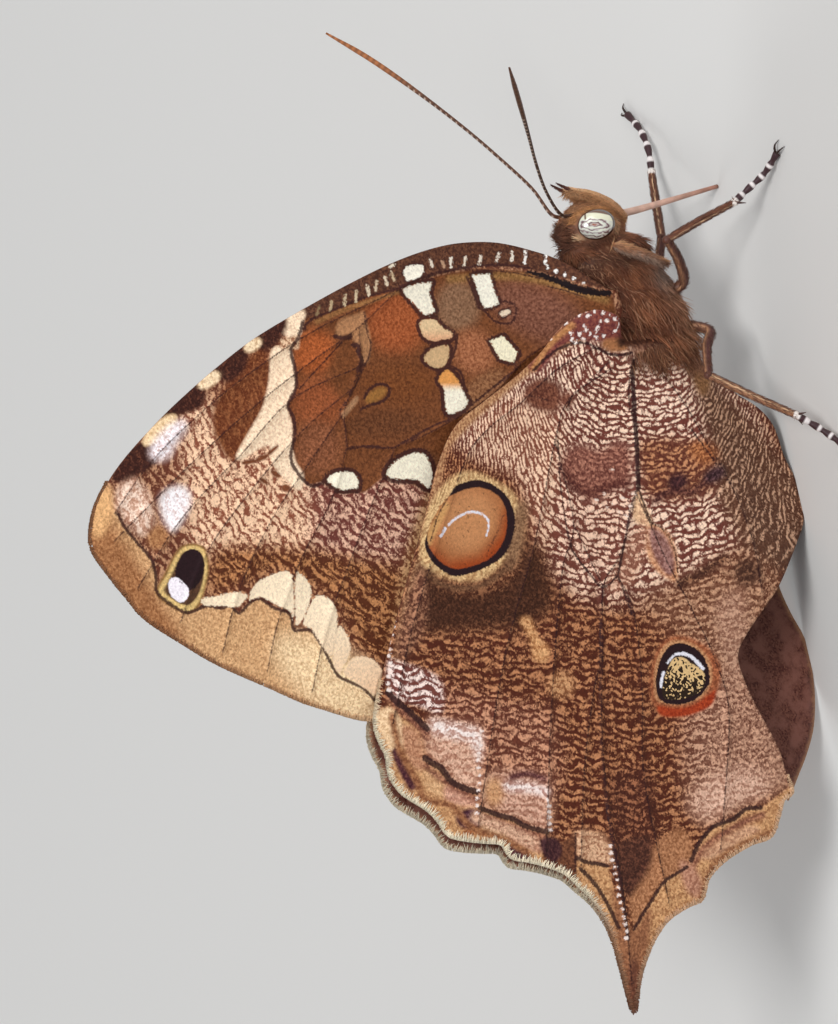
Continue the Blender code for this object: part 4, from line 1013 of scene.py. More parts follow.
def scale_material(name, line_colour):
    """Wing scales: dashes or ripples, eyespots, lines and spots, and the grain of the scales."""
    made, tree, shader = new_material(name)

    def both(first, second, third=0.0, operation="MULTIPLY_ADD"):
        return sums(tree, operation, first, second, third)

    flat = point_value(tree, "flat", "Vector")
    places = point_value(tree, "ripple", "Vector")
    weave = linked(tree, "ShaderNodeSeparateXYZ", i0=point_value(tree, "weave", "Vector")).outputs
    edges = linked(tree, "ShaderNodeSeparateXYZ", i0=point_value(tree, "edges", "Vector")).outputs
    rings = linked(tree, "ShaderNodeSeparateXYZ", i0=point_value(tree, "rings", "Vector")).outputs
    share = weave[2]

    # Scales, each a small cell with its own shade.
    cells = linked(tree, "ShaderNodeTexVoronoi", {"voronoi_dimensions": "2D"}, Vector=flat, Scale=9.0,
                   Randomness=0.9)
    speck = linked(tree, "ShaderNodeSeparateColor", i0=cells.outputs["Color"]).outputs[0]
    speck = both(speck, 1.0, -0.5)
    fine = linked(tree, "ShaderNodeTexNoise", {"noise_dimensions": "2D"}, Vector=flat, Scale=4.5, Detail=3.0)
    fine = both(fine.outputs[0], 1.0, -0.5)

    # Rows across the wing, bent a little, as broken ripples or as short dashes.
    bends = linked(tree, "ShaderNodeTexNoise", {"noise_dimensions": "2D"}, Vector=flat, Scale=0.8,
                   Detail=1.0, Roughness=0.5)
    bend = linked(tree, "ShaderNodeSeparateColor", i0=bends.outputs["Color"]).outputs
    split = linked(tree, "ShaderNodeSeparateXYZ", i0=places).outputs
    along = both(bend[1], 1.4, split[0])
    rows = both(bend[0], 2.0, split[1])
    bent = linked(tree, "ShaderNodeCombineXYZ", i0=along, i1=rows).outputs[0]
    breaks = linked(tree, "ShaderNodeTexNoise", {"noise_dimensions": "2D"}, Vector=bent, Scale=1.5,
                    Detail=2.0, Roughness=0.6)
    ripple = both(sums(tree, "SINE", both(rows, 6.2832)), 0.32, both(breaks.outputs[0], 2.1, -0.55))
    row = sums(tree, "ROUND", rows)
    across = sums(tree, "SUBTRACT", rows, row)
    shift = linked(tree, "ShaderNodeTexWhiteNoise", {"noise_dimensions": "1D"}, W=row)
    shifted = both(shift.outputs[0], 9.0, along)
    place = sums(tree, "ROUND", shifted)
    cell = linked(tree, "ShaderNodeCombineXYZ", i0=place, i1=row).outputs[0]
    chance = linked(tree, "ShaderNodeTexWhiteNoise", {"noise_dimensions": "2D"}, Vector=cell)
    chances = linked(tree, "ShaderNodeSeparateColor", i0=chance.outputs["Color"]).outputs
    lengthways = both(chances[0], 0.2, sums(tree, "SUBTRACT", shifted, both(place, 1.0, 0.1)))
    sideways = both(chances[1], 0.24, sums(tree, "SUBTRACT", across, 0.12))
    sideways = both(lengthways, both(chances[2], 0.8, -0.4), sideways)
    far = sums(tree, "POWER", both(
        sums(tree, "POWER", sums(tree, "MULTIPLY", sums(tree, "ABSOLUTE", lengthways), 1.45), 3.0), 1.0,
        sums(tree, "POWER", sums(tree, "MULTIPLY", sums(tree, "ABSOLUTE", sideways), 2.05), 3.0)), 0.333)
    dash = both(far, -1.0, both(chances[2], 0.26, 0.9))
    level = both(weave[0], sums(tree, "SUBTRACT", dash, ripple), ripple)
    level = both(speck, 0.42, both(fine, 0.6, level))
    strong = both(sums(tree, "ADD", level, share), 2.4, -1.9)
    strong = sums(tree, "MAXIMUM", sums(tree, "MINIMUM", strong, 1.0), 0.0)
    soft = both(fine, 2.4, both(speck, 0.7, share))
    mask = both(weave[1], sums(tree, "SUBTRACT", strong, soft), soft)
    mask = sums(tree, "MAXIMUM", sums(tree, "MINIMUM", mask, 1.0), 0.0)
    shade = mixed(tree, mask, point_value(tree, "dark", "Color"), point_value(tree, "pale", "Color"))

    # Eyespots, lines and spots, their edges as rough as the scales are.
    rough_edge = both(speck, 0.9)
    shade = mixed(tree, below(tree, both(rings[0], 1.0, rough_edge), 0.0, 1.2), shade, colour(40, 22, 26))
    pepper = below(tree, both(rings[2], -1.0, both(speck, 1.0, 0.5)), 0.0, 0.06)
    disc = mixed(tree, pepper, point_value(tree, "disc_tint", "Color"), colour(46, 32, 22))
    shade = mixed(tree, below(tree, both(rings[1], 1.0, rough_edge), 0.0, 1.2), shade, disc)
    line = below(tree, both(edges[1], 1.0, rough_edge), 0.0, 1.4)
    shade = mixed(tree, sums(tree, "MULTIPLY", line, 0.9), shade, line_colour)
    spot = below(tree, both(edges[0], 1.0, both(speck, 1.9)), 0.0, 1.2)
    shade = mixed(tree, spot, shade, point_value(tree, "spot_tint", "Color"))
    shade = mixed(tree, below(tree, both(edges[2], 1.0, both(speck, 1.1)), 0.0, 1.2), shade,
                  colour(240, 238, 248))

    grain = both(speck, 0.26, both(fine, 0.36, 1.0))
    grey = linked(tree, "ShaderNodeCombineColor", i0=grain, i1=grain, i2=grain).outputs[0]
    shade = mixed(tree, 1.0, shade, grey, "MULTIPLY")
    tree.links.new(shade, shader.inputs["Base Color"])
    tree.links.new(both(speck, 0.24, 0.54), shader.inputs["Roughness"])
    bump = linked(tree, "ShaderNodeBump", Strength=0.35, Distance=0.00004, Height=cells.outputs["Distance"])
    tree.links.new(bump.outputs[0], shader.inputs["Normal"])
    shader.inputs["Specular IOR Level"].default_value = 0.12
    return made


def upper_side_material():
    """Upper side of the wings, hidden between them: dark brown scales with a faint violet sheen."""
    made, tree, shader = new_material("upper_side")
    flat = point_value(tree, "flat", "Vector")
    cells = linked(tree, "ShaderNodeTexVoronoi", {"voronoi_dimensions": "2D"}, Vector=flat, Scale=9.0)
    speck = linked(tree, "ShaderNodeSeparateColor", i0=cells.outputs["Color"]).outputs[0]
    cloud = linked(tree, "ShaderNodeTexNoise", {"noise_dimensions": "2D"}, Vector=flat, Scale=0.7, Detail=3.0)
    inner = mixed(tree, speck, colour(70, 32, 26), colour(118, 74, 60))
    inner = mixed(tree, below(tree, cloud.outputs[0], 0.46, 0.2), inner, colour(124, 80, 68))
    rim = mixed(tree, speck, colour(150, 104, 74), colour(206, 160, 122))
    gap = sums(tree, "MULTIPLY_ADD", speck, 0.25, point_value(tree, "rim_gap"))
    tree.links.new(mixed(tree, below(tree, gap, 0.28, 0.3), inner, rim), shader.inputs["Base Color"])
    bump = linked(tree, "ShaderNodeBump", Strength=0.3, Distance=0.00004, Height=cells.outputs["Distance"])
    tree.links.new(bump.outputs[0], shader.inputs["Normal"])
    shader.inputs["Roughness"].default_value = 0.5
    shader.inputs["Specular IOR Level"].default_value = 0.15
    shader.inputs["Sheen Weight"].default_value = 0.06
    shader.inputs["Sheen Tint"].default_value = colour(170, 140, 210)
    return made


fore_scales = scale_material("forewing_scales", colour(62, 32, 30))
hind_scales = scale_material("hindwing_scales", colour(50, 26, 28))
upper_side = upper_side_material()

fore_outline = wing_outline(FOREWING_COSTA, FOREWING_OUTER, FOREWING_INNER)
hind_outline = wing_outline(HINDWING_COSTA, HINDWING_OUTER, HINDWING_RIGHT_INNER)
back = np.array(HINDWING_LEFT_INNER) - HINGE
turned = Matrix.Rotation(-LEFT_HINDWING_TURN, 2)
hind_left_inner = [tuple(turned @ Vector(p) + Vector(HINGE)) for p in back]
hind_left_outline = wing_outline(HINDWING_COSTA, HINDWING_OUTER, hind_left_inner)

wings = {
    "forewing_right": wing("wing_fore_right", -1, fore_outline, FOREWING_VEINS, forewing_y,
                           forewing_markings, "forewing_right"),
    "forewing_left": wing("wing_fore_left", 1, fore_outline, FOREWING_VEINS, forewing_y,
                          forewing_markings, "forewing_left", drop=LEFT_FOREWING_DROP),
    "hindwing_right": wing("wing_hind_right", -1, hind_outline, HINDWING_VEINS, hindwing_y,
                           hindwing_markings, "hindwing_right"),
    "hindwing_left": wing("wing_hind_left", 1, hind_left_outline, HINDWING_VEINS, hindwing_y,
                          hindwing_markings, "hindwing_left", turn=LEFT_HINDWING_TURN),
}
for key, piece in wings.items():
    piece.data.materials.append(fore_scales if key.startswith("fore") else hind_scales)
    piece.data.materials.append(upper_side)


# Body under its coat. Head, thorax and abdomen share one soft skin, which lies inside the solids
# by the depth of the hair. It is drawn over rounded cores and then smoothed into one surface.
SKIN_DEPTH = 0.3
THORAX = [
    (4.2, 10.5, 1.5, 2.0), (3.3, 10.4, 2.1, 2.9), (2.2, 10.1, 2.8, 3.8), (0.5, 9.7, 3.15, 4.4),
    (-1.2, 9.5, 3.2, 4.6), (-3.0, 9.3, 3.0, 4.4), (-4.4, 9.0, 2.6, 3.7), (-5.6, 8.7, 2.2, 3.0),
    (-6.6, 8.4, 1.9, 2.2),
]
ABDOMEN_RADIUS = 2.25
EYE_CENTRE = (5.65, 1.6, 11.2)
EYE_RADII = (1.05, 0.92, 1.4)


def add_rings(build, rings):
    """Skin over a row of closed rings, with a cap at each end."""
    rows = [[build.verts.new(tuple(p)) for p in ring] for ring in rings]
    for row, following in zip(rows, rows[1:]):
        for i, corner in enumerate(row):
            j = (i + 1) % len(row)
            build.faces.new((corner, row[j], following[j], following[i]))
    build.faces.new(rows[0][::-1])
    build.faces.new(rows[-1])


def oval_ring(x, height, half_width, half_height, sides=40):
    turns = np.arange(sides) * 2 * math.pi / sides
    return [(x, math.cos(t) * half_width, height + math.sin(t) * half_height) for t in turns]


def add_ball(build, centre, radii, segments=32, rings=20):
    made = bmesh.ops.create_uvsphere(build, u_segments=segments, v_segments=rings, radius=1.0)
    bmesh.ops.scale(build, vec=radii, verts=made["verts"])
    bmesh.ops.translate(build, vec=centre, verts=made["verts"])


def mesh_of(build, name):
    mesh = bpy.data.meshes.new(name)
    build.to_mesh(mesh)
    build.free()
    return mesh


def triangle_arrays(mesh):
    mesh.calc_loop_triangles()
    points = np.empty(len(mesh.vertices) * 3, np.float32)
    mesh.vertices.foreach_get("co", points)
    triangles = np.empty(len(mesh.loop_triangles) * 3, np.int32)
    mesh.loop_triangles.foreach_get("vertices", triangles)
    return points.reshape(-1, 3).astype(float), triangles.reshape(-1, 3)


def drawn_over(build, voxel, rounds):
    """One even skin over overlapping cores: its points and triangles."""
    bmesh.ops.recalc_face_normals(build, faces=build.faces)
    cores = bpy.data.objects.new("cores", mesh_of(build, "cores"))
    bpy.context.scene.collection.objects.link(cores)
    remesh = cores.modifiers.new("skin", "REMESH")
    remesh.mode = "VOXEL"
    remesh.voxel_size = voxel
    smooth = cores.modifiers.new("smooth", "SMOOTH")
    smooth.factor = 0.6
    smooth.iterations = rounds
    bpy.context.view_layer.update()
    skin = bpy.data.meshes.new_from_object(cores.evaluated_get(bpy.context.evaluated_depsgraph_get()))
    arrays = triangle_arrays(skin)
    bpy.data.objects.remove(cores)
    return arrays


cores = bmesh.new()
add_rings(cores, [oval_ring(x, z, w - SKIN_DEPTH, h - SKIN_DEPTH) for x, z, w, h in THORAX])
rings = []
for i in range(43):
    share = i / 42
    x = ABDOMEN_START + 0.8 - (ABDOMEN_LENGTH + 0.8) * share
    swell = 0.84 + 0.16 * math.sin(math.pi * min(1.0, share * 1.5 + 0.1))
    taper = math.sqrt(max(0.02, 1.0 - max(0.0, (share - 0.45) / 0.56) ** 2))
    groove = 1.0 - 0.06 * math.exp(-((i % 6 - 3) / 0.8) ** 2)
    radius = ABDOMEN_RADIUS * swell * taper * groove - 0.16
    rings.append(oval_ring(x, abdomen_height(x), radius, radius * 1.05))
add_rings(cores, rings)
for x, z, radii in (
    (5.45, 10.95, (1.75, 1.8, 2.25)), (6.4, 10.8, (1.1, 1.05, 1.75)), (3.9, 12.1, (0.95, 1.3, 1.25)),
    (5.4, 9.2, (0.95, 1.15, 0.9)), (4.0, 10.6, (1.3, 1.4, 1.8)), (3.9, 8.9, (1.0, 1.7, 1.3)),
    (3.6, 7.9, (0.9, 1.1, 1.2)), (-6.0, 8.5, (1.2, 1.7, 2.0)),
):
    add_ball(cores, (x, 0.0, z), radii)
skin_points, skin_faces = drawn_over(cores, 0.17, 5)


def near_eye(points, grow=0.0):
    """Less than one inside an eye, or inside it grown by so much."""
    off = (np.abs(points * (0.0, 1.0, 0.0)) + points * (1.0, 0.0, 1.0)) - EYE_CENTRE
    return np.linalg.norm(off / (np.array(EYE_RADII) + grow), axis=1)


def body_colours(points, seed):
    """Brown hair, darker by the wings and on the crown, with cream marks beside the eyes."""
    chance = np.random.default_rng(seed).random(len(points))
    x, y, z = points[:, 0], np.abs(points[:, 1]), points[:, 2]
    colours = np.tile(tint(134, 80, 54), (len(points), 1))

    def blend(weight, colour):
        nonlocal colours
        colours = colours + (tint(*colour) - colours) * np.clip(weight, 0, 1)[:, None]

    clouds = np.sin(x * 2.1 + 3.0 * np.sin(z * 1.3)) * np.sin(z * 1.9 + 2.0 * np.sin(x * 0.9 + y))
    blend(clouds * 0.8, (172, 110, 74))
    blend(-clouds * 0.7, (96, 52, 38))
    blend(np.exp(-((z - 12.5) / 1.4) ** 2) * (x < 3.6) * 0.8, (96, 56, 40))
    blend(np.exp(-((z - 6.4) / 1.2) ** 2) * (x < 3.4) * 0.6, (164, 122, 94))
    blend(np.exp(-((x - 3.3) / 0.6) ** 2) * 0.7, (92, 58, 44))
    blend(np.exp(-((x - 1.6) / 1.0) ** 2 - ((z - 7.4) / 1.0) ** 2) * 0.8, (150, 130, 120))
    blend((x < -5.8) * 1.0, (140, 102, 76))
    blend(smooth_step(4.2, 4.8, x), (172, 116, 86))
    blend(smooth_step(12.0, 13.2, z) * (x > 4.4) * (x < 6.4), (92, 54, 40))
    # Painted shade in the neck, the groove between head and thorax, above its underside.
    blend(np.exp(-((x - 4.5) / 0.35) ** 2) * (z > 9) * 0.5, (84, 52, 42))
    blend(smooth_step(6.2, 6.9, x) * 0.8, (188, 138, 98))
    off = near_eye(points, 0.35)
    beside = np.exp(-((off - 1.0) / 0.16) ** 2)
    blend(beside * (x > 4.8) * (x < 5.3) * (z > 11.5) * (z < 12.6) * 0.9, (246, 208, 164))
    blend(beside * (z < 10.4) * (x > 4.9) * (x < 6.2) * 0.8, (226, 180, 138))
    blend(beside * (x > 6.0) * 0.8, (206, 146, 90))
    blend((chance > 0.9) * (x < 4.0) * 0.5, (186, 142, 110))
    return colours * (0.72 + 0.6 * chance)[:, None]


def body_places(points):
    """Where points lie on the unwrapped skin: along the body, and round it."""
    middle = np.interp(points[:, 0], (-22.0, -6.0, 6.0), (4.8, 8.4, 10.8))
    angle = np.arctan2(points[:, 1], points[:, 2] - middle) / (2 * math.pi) + 0.5
    return np.stack([(points[:, 0] + 23.0) / 33.0, angle * 0.99], axis=1)


def coat_map(piece, places):
    corners = np.empty(len(piece.data.loops), np.int32)
    piece.data.loops.foreach_get("vertex_index", corners)
    uv = piece.data.uv_layers.new(name="OFBake")
    uv.data.foreach_set("uv", places[corners].astype(np.float32).ravel())


def hair_material(name, rough=0.6, sheen=0.1):
    """Hair or fine scales in the colour that each point carries, darker at the root."""
    made, tree, shader = new_material(name)
    noise = linked(tree, "ShaderNodeTexNoise", Scale=2600.0, Detail=2.0,
                   Vector=linked(tree, "ShaderNodeTexCoord").outputs["Object"])
    along = point_value(tree, "along")
    bright = sums(tree, "MULTIPLY_ADD", noise.outputs[0], 0.5, sums(tree, "MULTIPLY_ADD", along, 0.5, 0.55))
    grey = linked(tree, "ShaderNodeCombineColor", i0=bright, i1=bright, i2=bright).outputs[0]
    tree.links.new(mixed(tree, 1.0, point_value(tree, "coat", "Color"), grey, "MULTIPLY"),
                   shader.inputs["Base Color"])
    bump = linked(tree, "ShaderNodeBump", Strength=0.3, Distance=0.00005, Height=noise.outputs[0])
    tree.links.new(bump.outputs[0], shader.inputs["Normal"])
    shader.inputs["Roughness"].default_value = rough
    shader.inputs["Specular IOR Level"].default_value = 0.25
    shader.inputs["Sheen Weight"].default_value = sheen
    shader.inputs["Sheen Tint"].default_value = colour(230, 200, 170)
    return made


fur_hair = hair_material("fur_hair")
skin = mesh_object("body_skin", skin_points, skin_faces, ("head", "thorax", "abdomen"))
skin.data.materials.append(fur_hair)
point_values(skin, "coat", body_colours(skin_points, 1) * 0.72)
point_values(skin, "along", np.full(len(skin_points), 0.2))
coat_map(skin, body_places(skin_points))


# Coat of the body: silky hair that lies back along the thorax and abdomen and stands up on the
# crown. Each tuft is a thin curved blade of solid mesh, rooted in the skin.
def scattered(points, faces, count, seed):
    """Roots spread evenly over a surface, with the surface's direction at each."""
    chance = np.random.default_rng(seed)
    a, b, c = (points[faces[:, i]] for i in range(3))
    cross = np.cross(b - a, c - a)
    area = np.linalg.norm(cross, axis=1)
    pick = chance.choice(len(faces), count, p=area / area.sum())
    u, v = chance.random(count), chance.random(count)
    flip = u + v > 1
    u[flip], v[flip] = 1 - u[flip], 1 - v[flip]
    roots = a[pick] + (b - a)[pick] * u[:, None] + (c - a)[pick] * v[:, None]
    return roots, cross[pick] / np.maximum(area[pick], 1e-9)[:, None]


def shades(share, stops):
    """Colours along a part, from (share, colour) stops."""
    places = [s for s, _ in stops]
    table = np.array([tint(*c) for _, c in stops])
    return np.stack([np.interp(share, places, table[:, i]) for i in range(3)], axis=1)


def unit(vectors):
    return vectors / np.maximum(np.linalg.norm(vectors, axis=1), 1e-9)[:, None]


def tufts(name, roots, normals, lies, lengths, widths, lifts, colours, places, finish, seed=1,
          replaces=()):
    """Thin curved blades of three sides; lies is which way each lies, lifts how far it stands."""
    chance = np.random.default_rng(seed)
    count = len(roots)
    lies = unit(lies - normals * np.sum(lies * normals, axis=1)[:, None])
    sides = np.cross(lies, normals)
    curl = chance.normal(0.0, 0.16, count)
    stations = ((0.0, 1.0), (0.4, 0.85), (0.75, 0.5))
    points = np.empty((count, 10, 3))
    spine = {}
    for t in (0.0, 0.4, 0.75, 1.0):
        rise = lifts * t * (1.0 - 0.42 * t) - 0.06
        spine[t] = (
            roots + lies * (lengths * t)[:, None] + normals * (lengths * rise)[:, None]
            + sides * (lengths * curl * t * t)[:, None]
        )
    for row, (t, width) in enumerate(stations):
        for corner in range(3):
            turn = 2 * math.pi * corner / 3 + 0.5
            points[:, row * 3 + corner] = (
                spine[t] + sides * (widths * width * math.cos(turn))[:, None]
                + normals * (widths * width * 0.6 * math.sin(turn))[:, None]
            )
    points[:, 9] = spine[1.0]
    points[:, :, 2] = np.maximum(points[:, :, 2], 0.03)
    template = []
    for row in (0, 3):
        for corner in range(3):
            following = (corner + 1) % 3
            template.append((row + corner, row + following, row + 3 + following))
            template.append((row + corner, row + 3 + following, row + 3 + corner))
    template += [(6 + corner, 6 + (corner + 1) % 3, 9) for corner in range(3)]
    faces = (np.arange(count) * 10)[:, None, None] + np.array(template)
    piece = mesh_object(name, points.reshape(-1, 3), faces.reshape(-1, 3), replaces)
    along = np.tile([0.0] * 3 + [0.4] * 3 + [0.75] * 3 + [1.0], count)
    point_values(piece, "coat", np.repeat(colours, 10, axis=0))
    point_values(piece, "along", along)
    corner_shift = np.array([(k % 3, k // 3) for k in range(10)]) * 0.001
    coat_map(piece, (places[:, None, :] + corner_shift).reshape(-1, 2))
    piece.data.materials.append(finish)
    return piece


BODY_TUFTS = 46000
TUFTS_PER_PIECE = 13200
roots, normals = scattered(skin_points, skin_faces, BODY_TUFTS, 2)
thinned = (roots[:, 0] < -7.0) & (np.random.default_rng(5).random(len(roots)) < 0.3)
keep = (near_eye(roots, 0.12) > 1.0) & ~thinned
roots, normals = roots[keep], normals[keep]
x, y, z = roots.T
on_head = x > 4.3
on_thorax = (x <= 4.3) & (x > -6.2)
chance = np.random.default_rng(3)
lies = np.stack([
    np.where(on_head, np.where(z > 12.0, 0.25, -0.75), -1.0),
    np.where(on_head, 0.0, 0.12 * np.sign(y)),
    np.where(on_head, np.where(z > 12.0, 0.9, -0.5), -0.35),
], axis=1)
swirl = np.stack([np.sin(z * 2.3 + y), np.sin(x * 1.7 + z), np.sin(x * 2.9 - z * 1.1)], axis=1)
lies += swirl * np.where(on_thorax, 0.34, 0.1)[:, None] + chance.normal(0, 0.2, (len(x), 3))
by_wing = on_thorax & (x < 0.2) & (x > -3.6) & (np.abs(y) > 1.6) & (z < 12.6)
lengths = np.where(on_head, 0.42, np.where(on_thorax, 0.9, 0.75)) * chance.uniform(0.6, 1.3, len(x))
lengths = np.where(by_wing, 2.0 * chance.uniform(0.6, 1.2, len(x)), lengths)
over_wing = by_wing & (x < -1.9)
lengths = np.where(on_head & (z > 12.7), lengths * 1.7, lengths)
lengths = np.where(on_head & (x < 5.0), lengths * 1.15, lengths)
lifts = np.where(on_head, 0.5, np.where(on_thorax, 0.34, 0.22)) * chance.uniform(0.4, 1.6, len(x))
lifts = np.where(by_wing, np.where(over_wing, 0.8, 0.42) * chance.uniform(0.7, 1.4, len(x)), lifts)
lifts = np.where(on_head & (z > 12.7), 0.9, lifts)
widths = np.where(on_head, 0.026, 0.036) * chance.uniform(0.6, 1.4, len(x))
colours = body_colours(roots, 7)
for name, part in (("coat_head", on_head), ("coat_thorax", on_thorax), ("coat_abdomen", x <= -6.2)):
    part = np.flatnonzero(part)[:TUFTS_PER_PIECE]
    tufts(name, roots[part], normals[part], lies[part], lengths[part], widths[part], lifts[part],
          colours[part], body_places(roots[part]), fur_hair, 11)

# Hair of the wing roots: it fans back over the front edge of each hindwing.
for side, way, turn in (("right", -1.0, 0.0), ("left", 1.0, LEFT_HINDWING_TURN)):
    chance = np.random.default_rng(17)
    x, z = chance.uniform(-5.2, -2.4, 6400), chance.uniform(2.2, 12.4, 6400)
    ragged = 0.5 * np.sin(z * 2.7) + 0.3 * np.sin(z * 6.1)
    keep = chance.random(len(x)) < np.clip((x + 4.7 + ragged) / 1.7, 0.02, 1.0) ** 1.5
    keep &= chance.random(len(x)) < smooth_step(12.4, 10.0, z)
    x, z = x[keep], z[keep]
    keep = inside(np.stack([x - 0.4, z], axis=1), hind_outline if way < 0 else hind_left_outline)
    x, z = x[keep], z[keep]
    roots = np.stack([x, (hindwing_y(x, z) + 0.16) * way, z], axis=1)
    count = len(x)
    lies = np.stack([np.full(count, -1.0), np.zeros(count), (z - 11.0) * 0.08], axis=1)
    lies += chance.normal(0, 0.2, (count, 3))
    normals = np.tile((0.0, way, 0.0), (count, 1))
    colours = shades(chance.random(count), [
        (0.0, (88, 50, 34)), (0.7, (136, 84, 56)), (1.0, (180, 134, 100)),
    ])
    roots[:, 0], roots[:, 2] = hinged(roots[:, 0], roots[:, 2], turn)
    places = np.stack([(x + 6.0) / 4.0, (z - 2.0) / 11.0], axis=1) * 0.98
    tufts(f"wing_root_hair_{side}", roots, normals, lies, chance.uniform(0.6, 1.5, count),
          chance.uniform(0.02, 0.04, count), chance.uniform(0.05, 0.4, count), colours, places,
          fur_hair, 19)


# Eyes: glossy domes with a cream band, a painted highlight, above flat brown rings, each in a dark rim.
def eye_material():
    made, tree, shader = new_material("eye_glaze")
    dome = point_value(tree, "dome", "Vector")
    x, y, z = linked(tree, "ShaderNodeSeparateXYZ", i0=dome).outputs
    noise = linked(tree, "ShaderNodeTexNoise", Scale=2.4, Detail=2.0, Vector=dome).outputs[0]
    # Flat rings round the middle of its view, which looks outward and 30 degrees up.
    across = sums(tree, "MULTIPLY_ADD", z, 0.866, sums(tree, "MULTIPLY", y, -0.5))
    high = sums(tree, "MULTIPLY_ADD", across, -0.22, x)
    square = sums(tree, "MULTIPLY", across, across)
    ring = sums(tree, "MULTIPLY_ADD", high, high, sums(tree, "MULTIPLY", square, 0.26))
    ring = sums(tree, "MULTIPLY_ADD", noise, 0.44, sums(tree, "SQRT", ring))
    wave = sums(tree, "MULTIPLY_ADD", sums(tree, "SINE", sums(tree, "MULTIPLY", ring, 31.0)), 0.5, 0.5)
    wave = sums(tree, "ADD", wave, sums(tree, "MULTIPLY_ADD", noise, 1.1, -0.5))
    stripes = ramp(tree, wave, [
        (0.0, colour(112, 82, 84)), (0.16, colour(160, 134, 134)), (0.36, colour(214, 206, 200)),
        (0.8, colour(230, 232, 224)), (1.0, colour(246, 248, 228)),
    ])
    stripes = mixed(tree, below(tree, ring, 0.3, 0.06), stripes, colour(176, 106, 88))
    # The cream band over the top of the dome is a painted highlight.
    arch = sums(tree, "MULTIPLY_ADD", square, 0.3, high)
    fall = sums(tree, "MULTIPLY", arch, -1.0)
    stripes = mixed(tree, below(tree, fall, -0.42, 0.05), stripes, colour(250, 248, 220))
    gap = below(tree, sums(tree, "ABSOLUTE", sums(tree, "SUBTRACT", across, 0.4)), 0.05, 0.05)
    gap = sums(tree, "MULTIPLY", below(tree, fall, -0.4, 0.1), gap)
    brown = sums(tree, "MAXIMUM", below(tree, fall, -0.78, 0.06), gap)
    stripes = mixed(tree, brown, stripes, colour(112, 76, 58))
    rim = point_value(tree, "rim")
    shade = mixed(tree, below(tree, rim, 0.43, 0.08), stripes, colour(54, 28, 26))
    tree.links.new(shade, shader.inputs["Base Color"])
    shader.inputs["Roughness"].default_value = 0.18
    shader.inputs["Metallic"].default_value = 0.25
    shader.inputs["Coat Weight"].default_value = 1.0
    shader.inputs["Coat Roughness"].default_value = 0.04
    return made


eye_glaze = eye_material()
for side, way in (("right", -1.0), ("left", 1.0)):
    build = bmesh.new()
    bmesh.ops.create_uvsphere(build, u_segments=56, v_segments=40, radius=1.0)
    dome, faces = triangle_arrays(mesh_of(build, "dome"))
    placed = dome * EYE_RADII + np.array((EYE_CENTRE[0], way * EYE_CENTRE[1], EYE_CENTRE[2]))
    eye = mesh_object(f"eye_dome_{side}", placed, faces, (f"eye_{side}",))
    point_values(eye, "dome", dome * (1.0, way, 1.0))
    point_values(eye, "rim", dome[:, 1] * way * 0.9 + dome[:, 2] * 0.44)
    eye.data.materials.append(eye_glaze)


# Palps, feelers, tongue and legs are bars of horn under fine scales. Each is a smooth tube, and
# its points carry the colours of its scales.
def tube(path, radii, sides=14, flat=1.0, step=0.25):
    """Rings round a smooth path: points, faces, share along and angle round for each point."""
    path = curve_through(path, step)
    reach = reached(path)
    share = reach / reach[-1]
    widths = np.interp(share, np.linspace(0, 1, len(radii)), radii)
    tangents = unit(np.gradient(path, axis=0))
    across = np.cross((0.0, 0.0, 1.0), tangents[0])
    if np.linalg.norm(across) < 1e-3:
        across = np.array((0.0, 1.0, 0.0))
    turns = np.arange(sides) * 2 * math.pi / sides
    points = []
    for centre, along, width in zip(path, tangents, widths):
        across = across - along * (across @ along)
        across /= np.linalg.norm(across)
        lift = np.cross(along, across)
        points.append(
            centre + np.outer(np.cos(turns) * width * flat, across) + np.outer(np.sin(turns) * width, lift)
        )
    rows = len(path)
    points = np.concatenate(points + [path[:1], path[-1:]])
    faces = []
    for row in range(rows - 1):
        for i in range(sides):
            j = (i + 1) % sides
            a, b = row * sides + i, row * sides + j
            faces += [(a, b, b + sides), (a, b + sides, a + sides)]
    last = (rows - 1) * sides
    for i in range(sides):
        j = (i + 1) % sides
        faces += [(j, i, rows * sides), (last + i, last + j, rows * sides + 1)]
    share = np.concatenate([np.repeat(share, sides), [0.0, 1.0]])
    angle = np.concatenate([np.tile(turns, rows), [0.0, 0.0]])
    points[:, 2] = np.maximum(points[:, 2], 0.01)
    return points, np.array(faces), share, angle


def bars(name, parts, finish, replaces=()):
    """One piece from several coloured tubes: each part is (points, faces, colours)."""
    start, points, faces, colours = 0, [], [], []
    for part_points, part_faces, part_colours in parts:
        points.append(part_points)
        faces.append(part_faces + start)
        colours.append(part_colours)
        start += len(part_points)
    piece = mesh_object(name, np.concatenate(points), np.concatenate(faces), replaces)
    point_values(piece, "coat", np.concatenate(colours))
    point_values(piece, "along", np.full(start, 0.5))
    piece.data.materials.append(finish)
    return piece


horn_scales = hair_material("horn_scales", 0.42, 0.1)


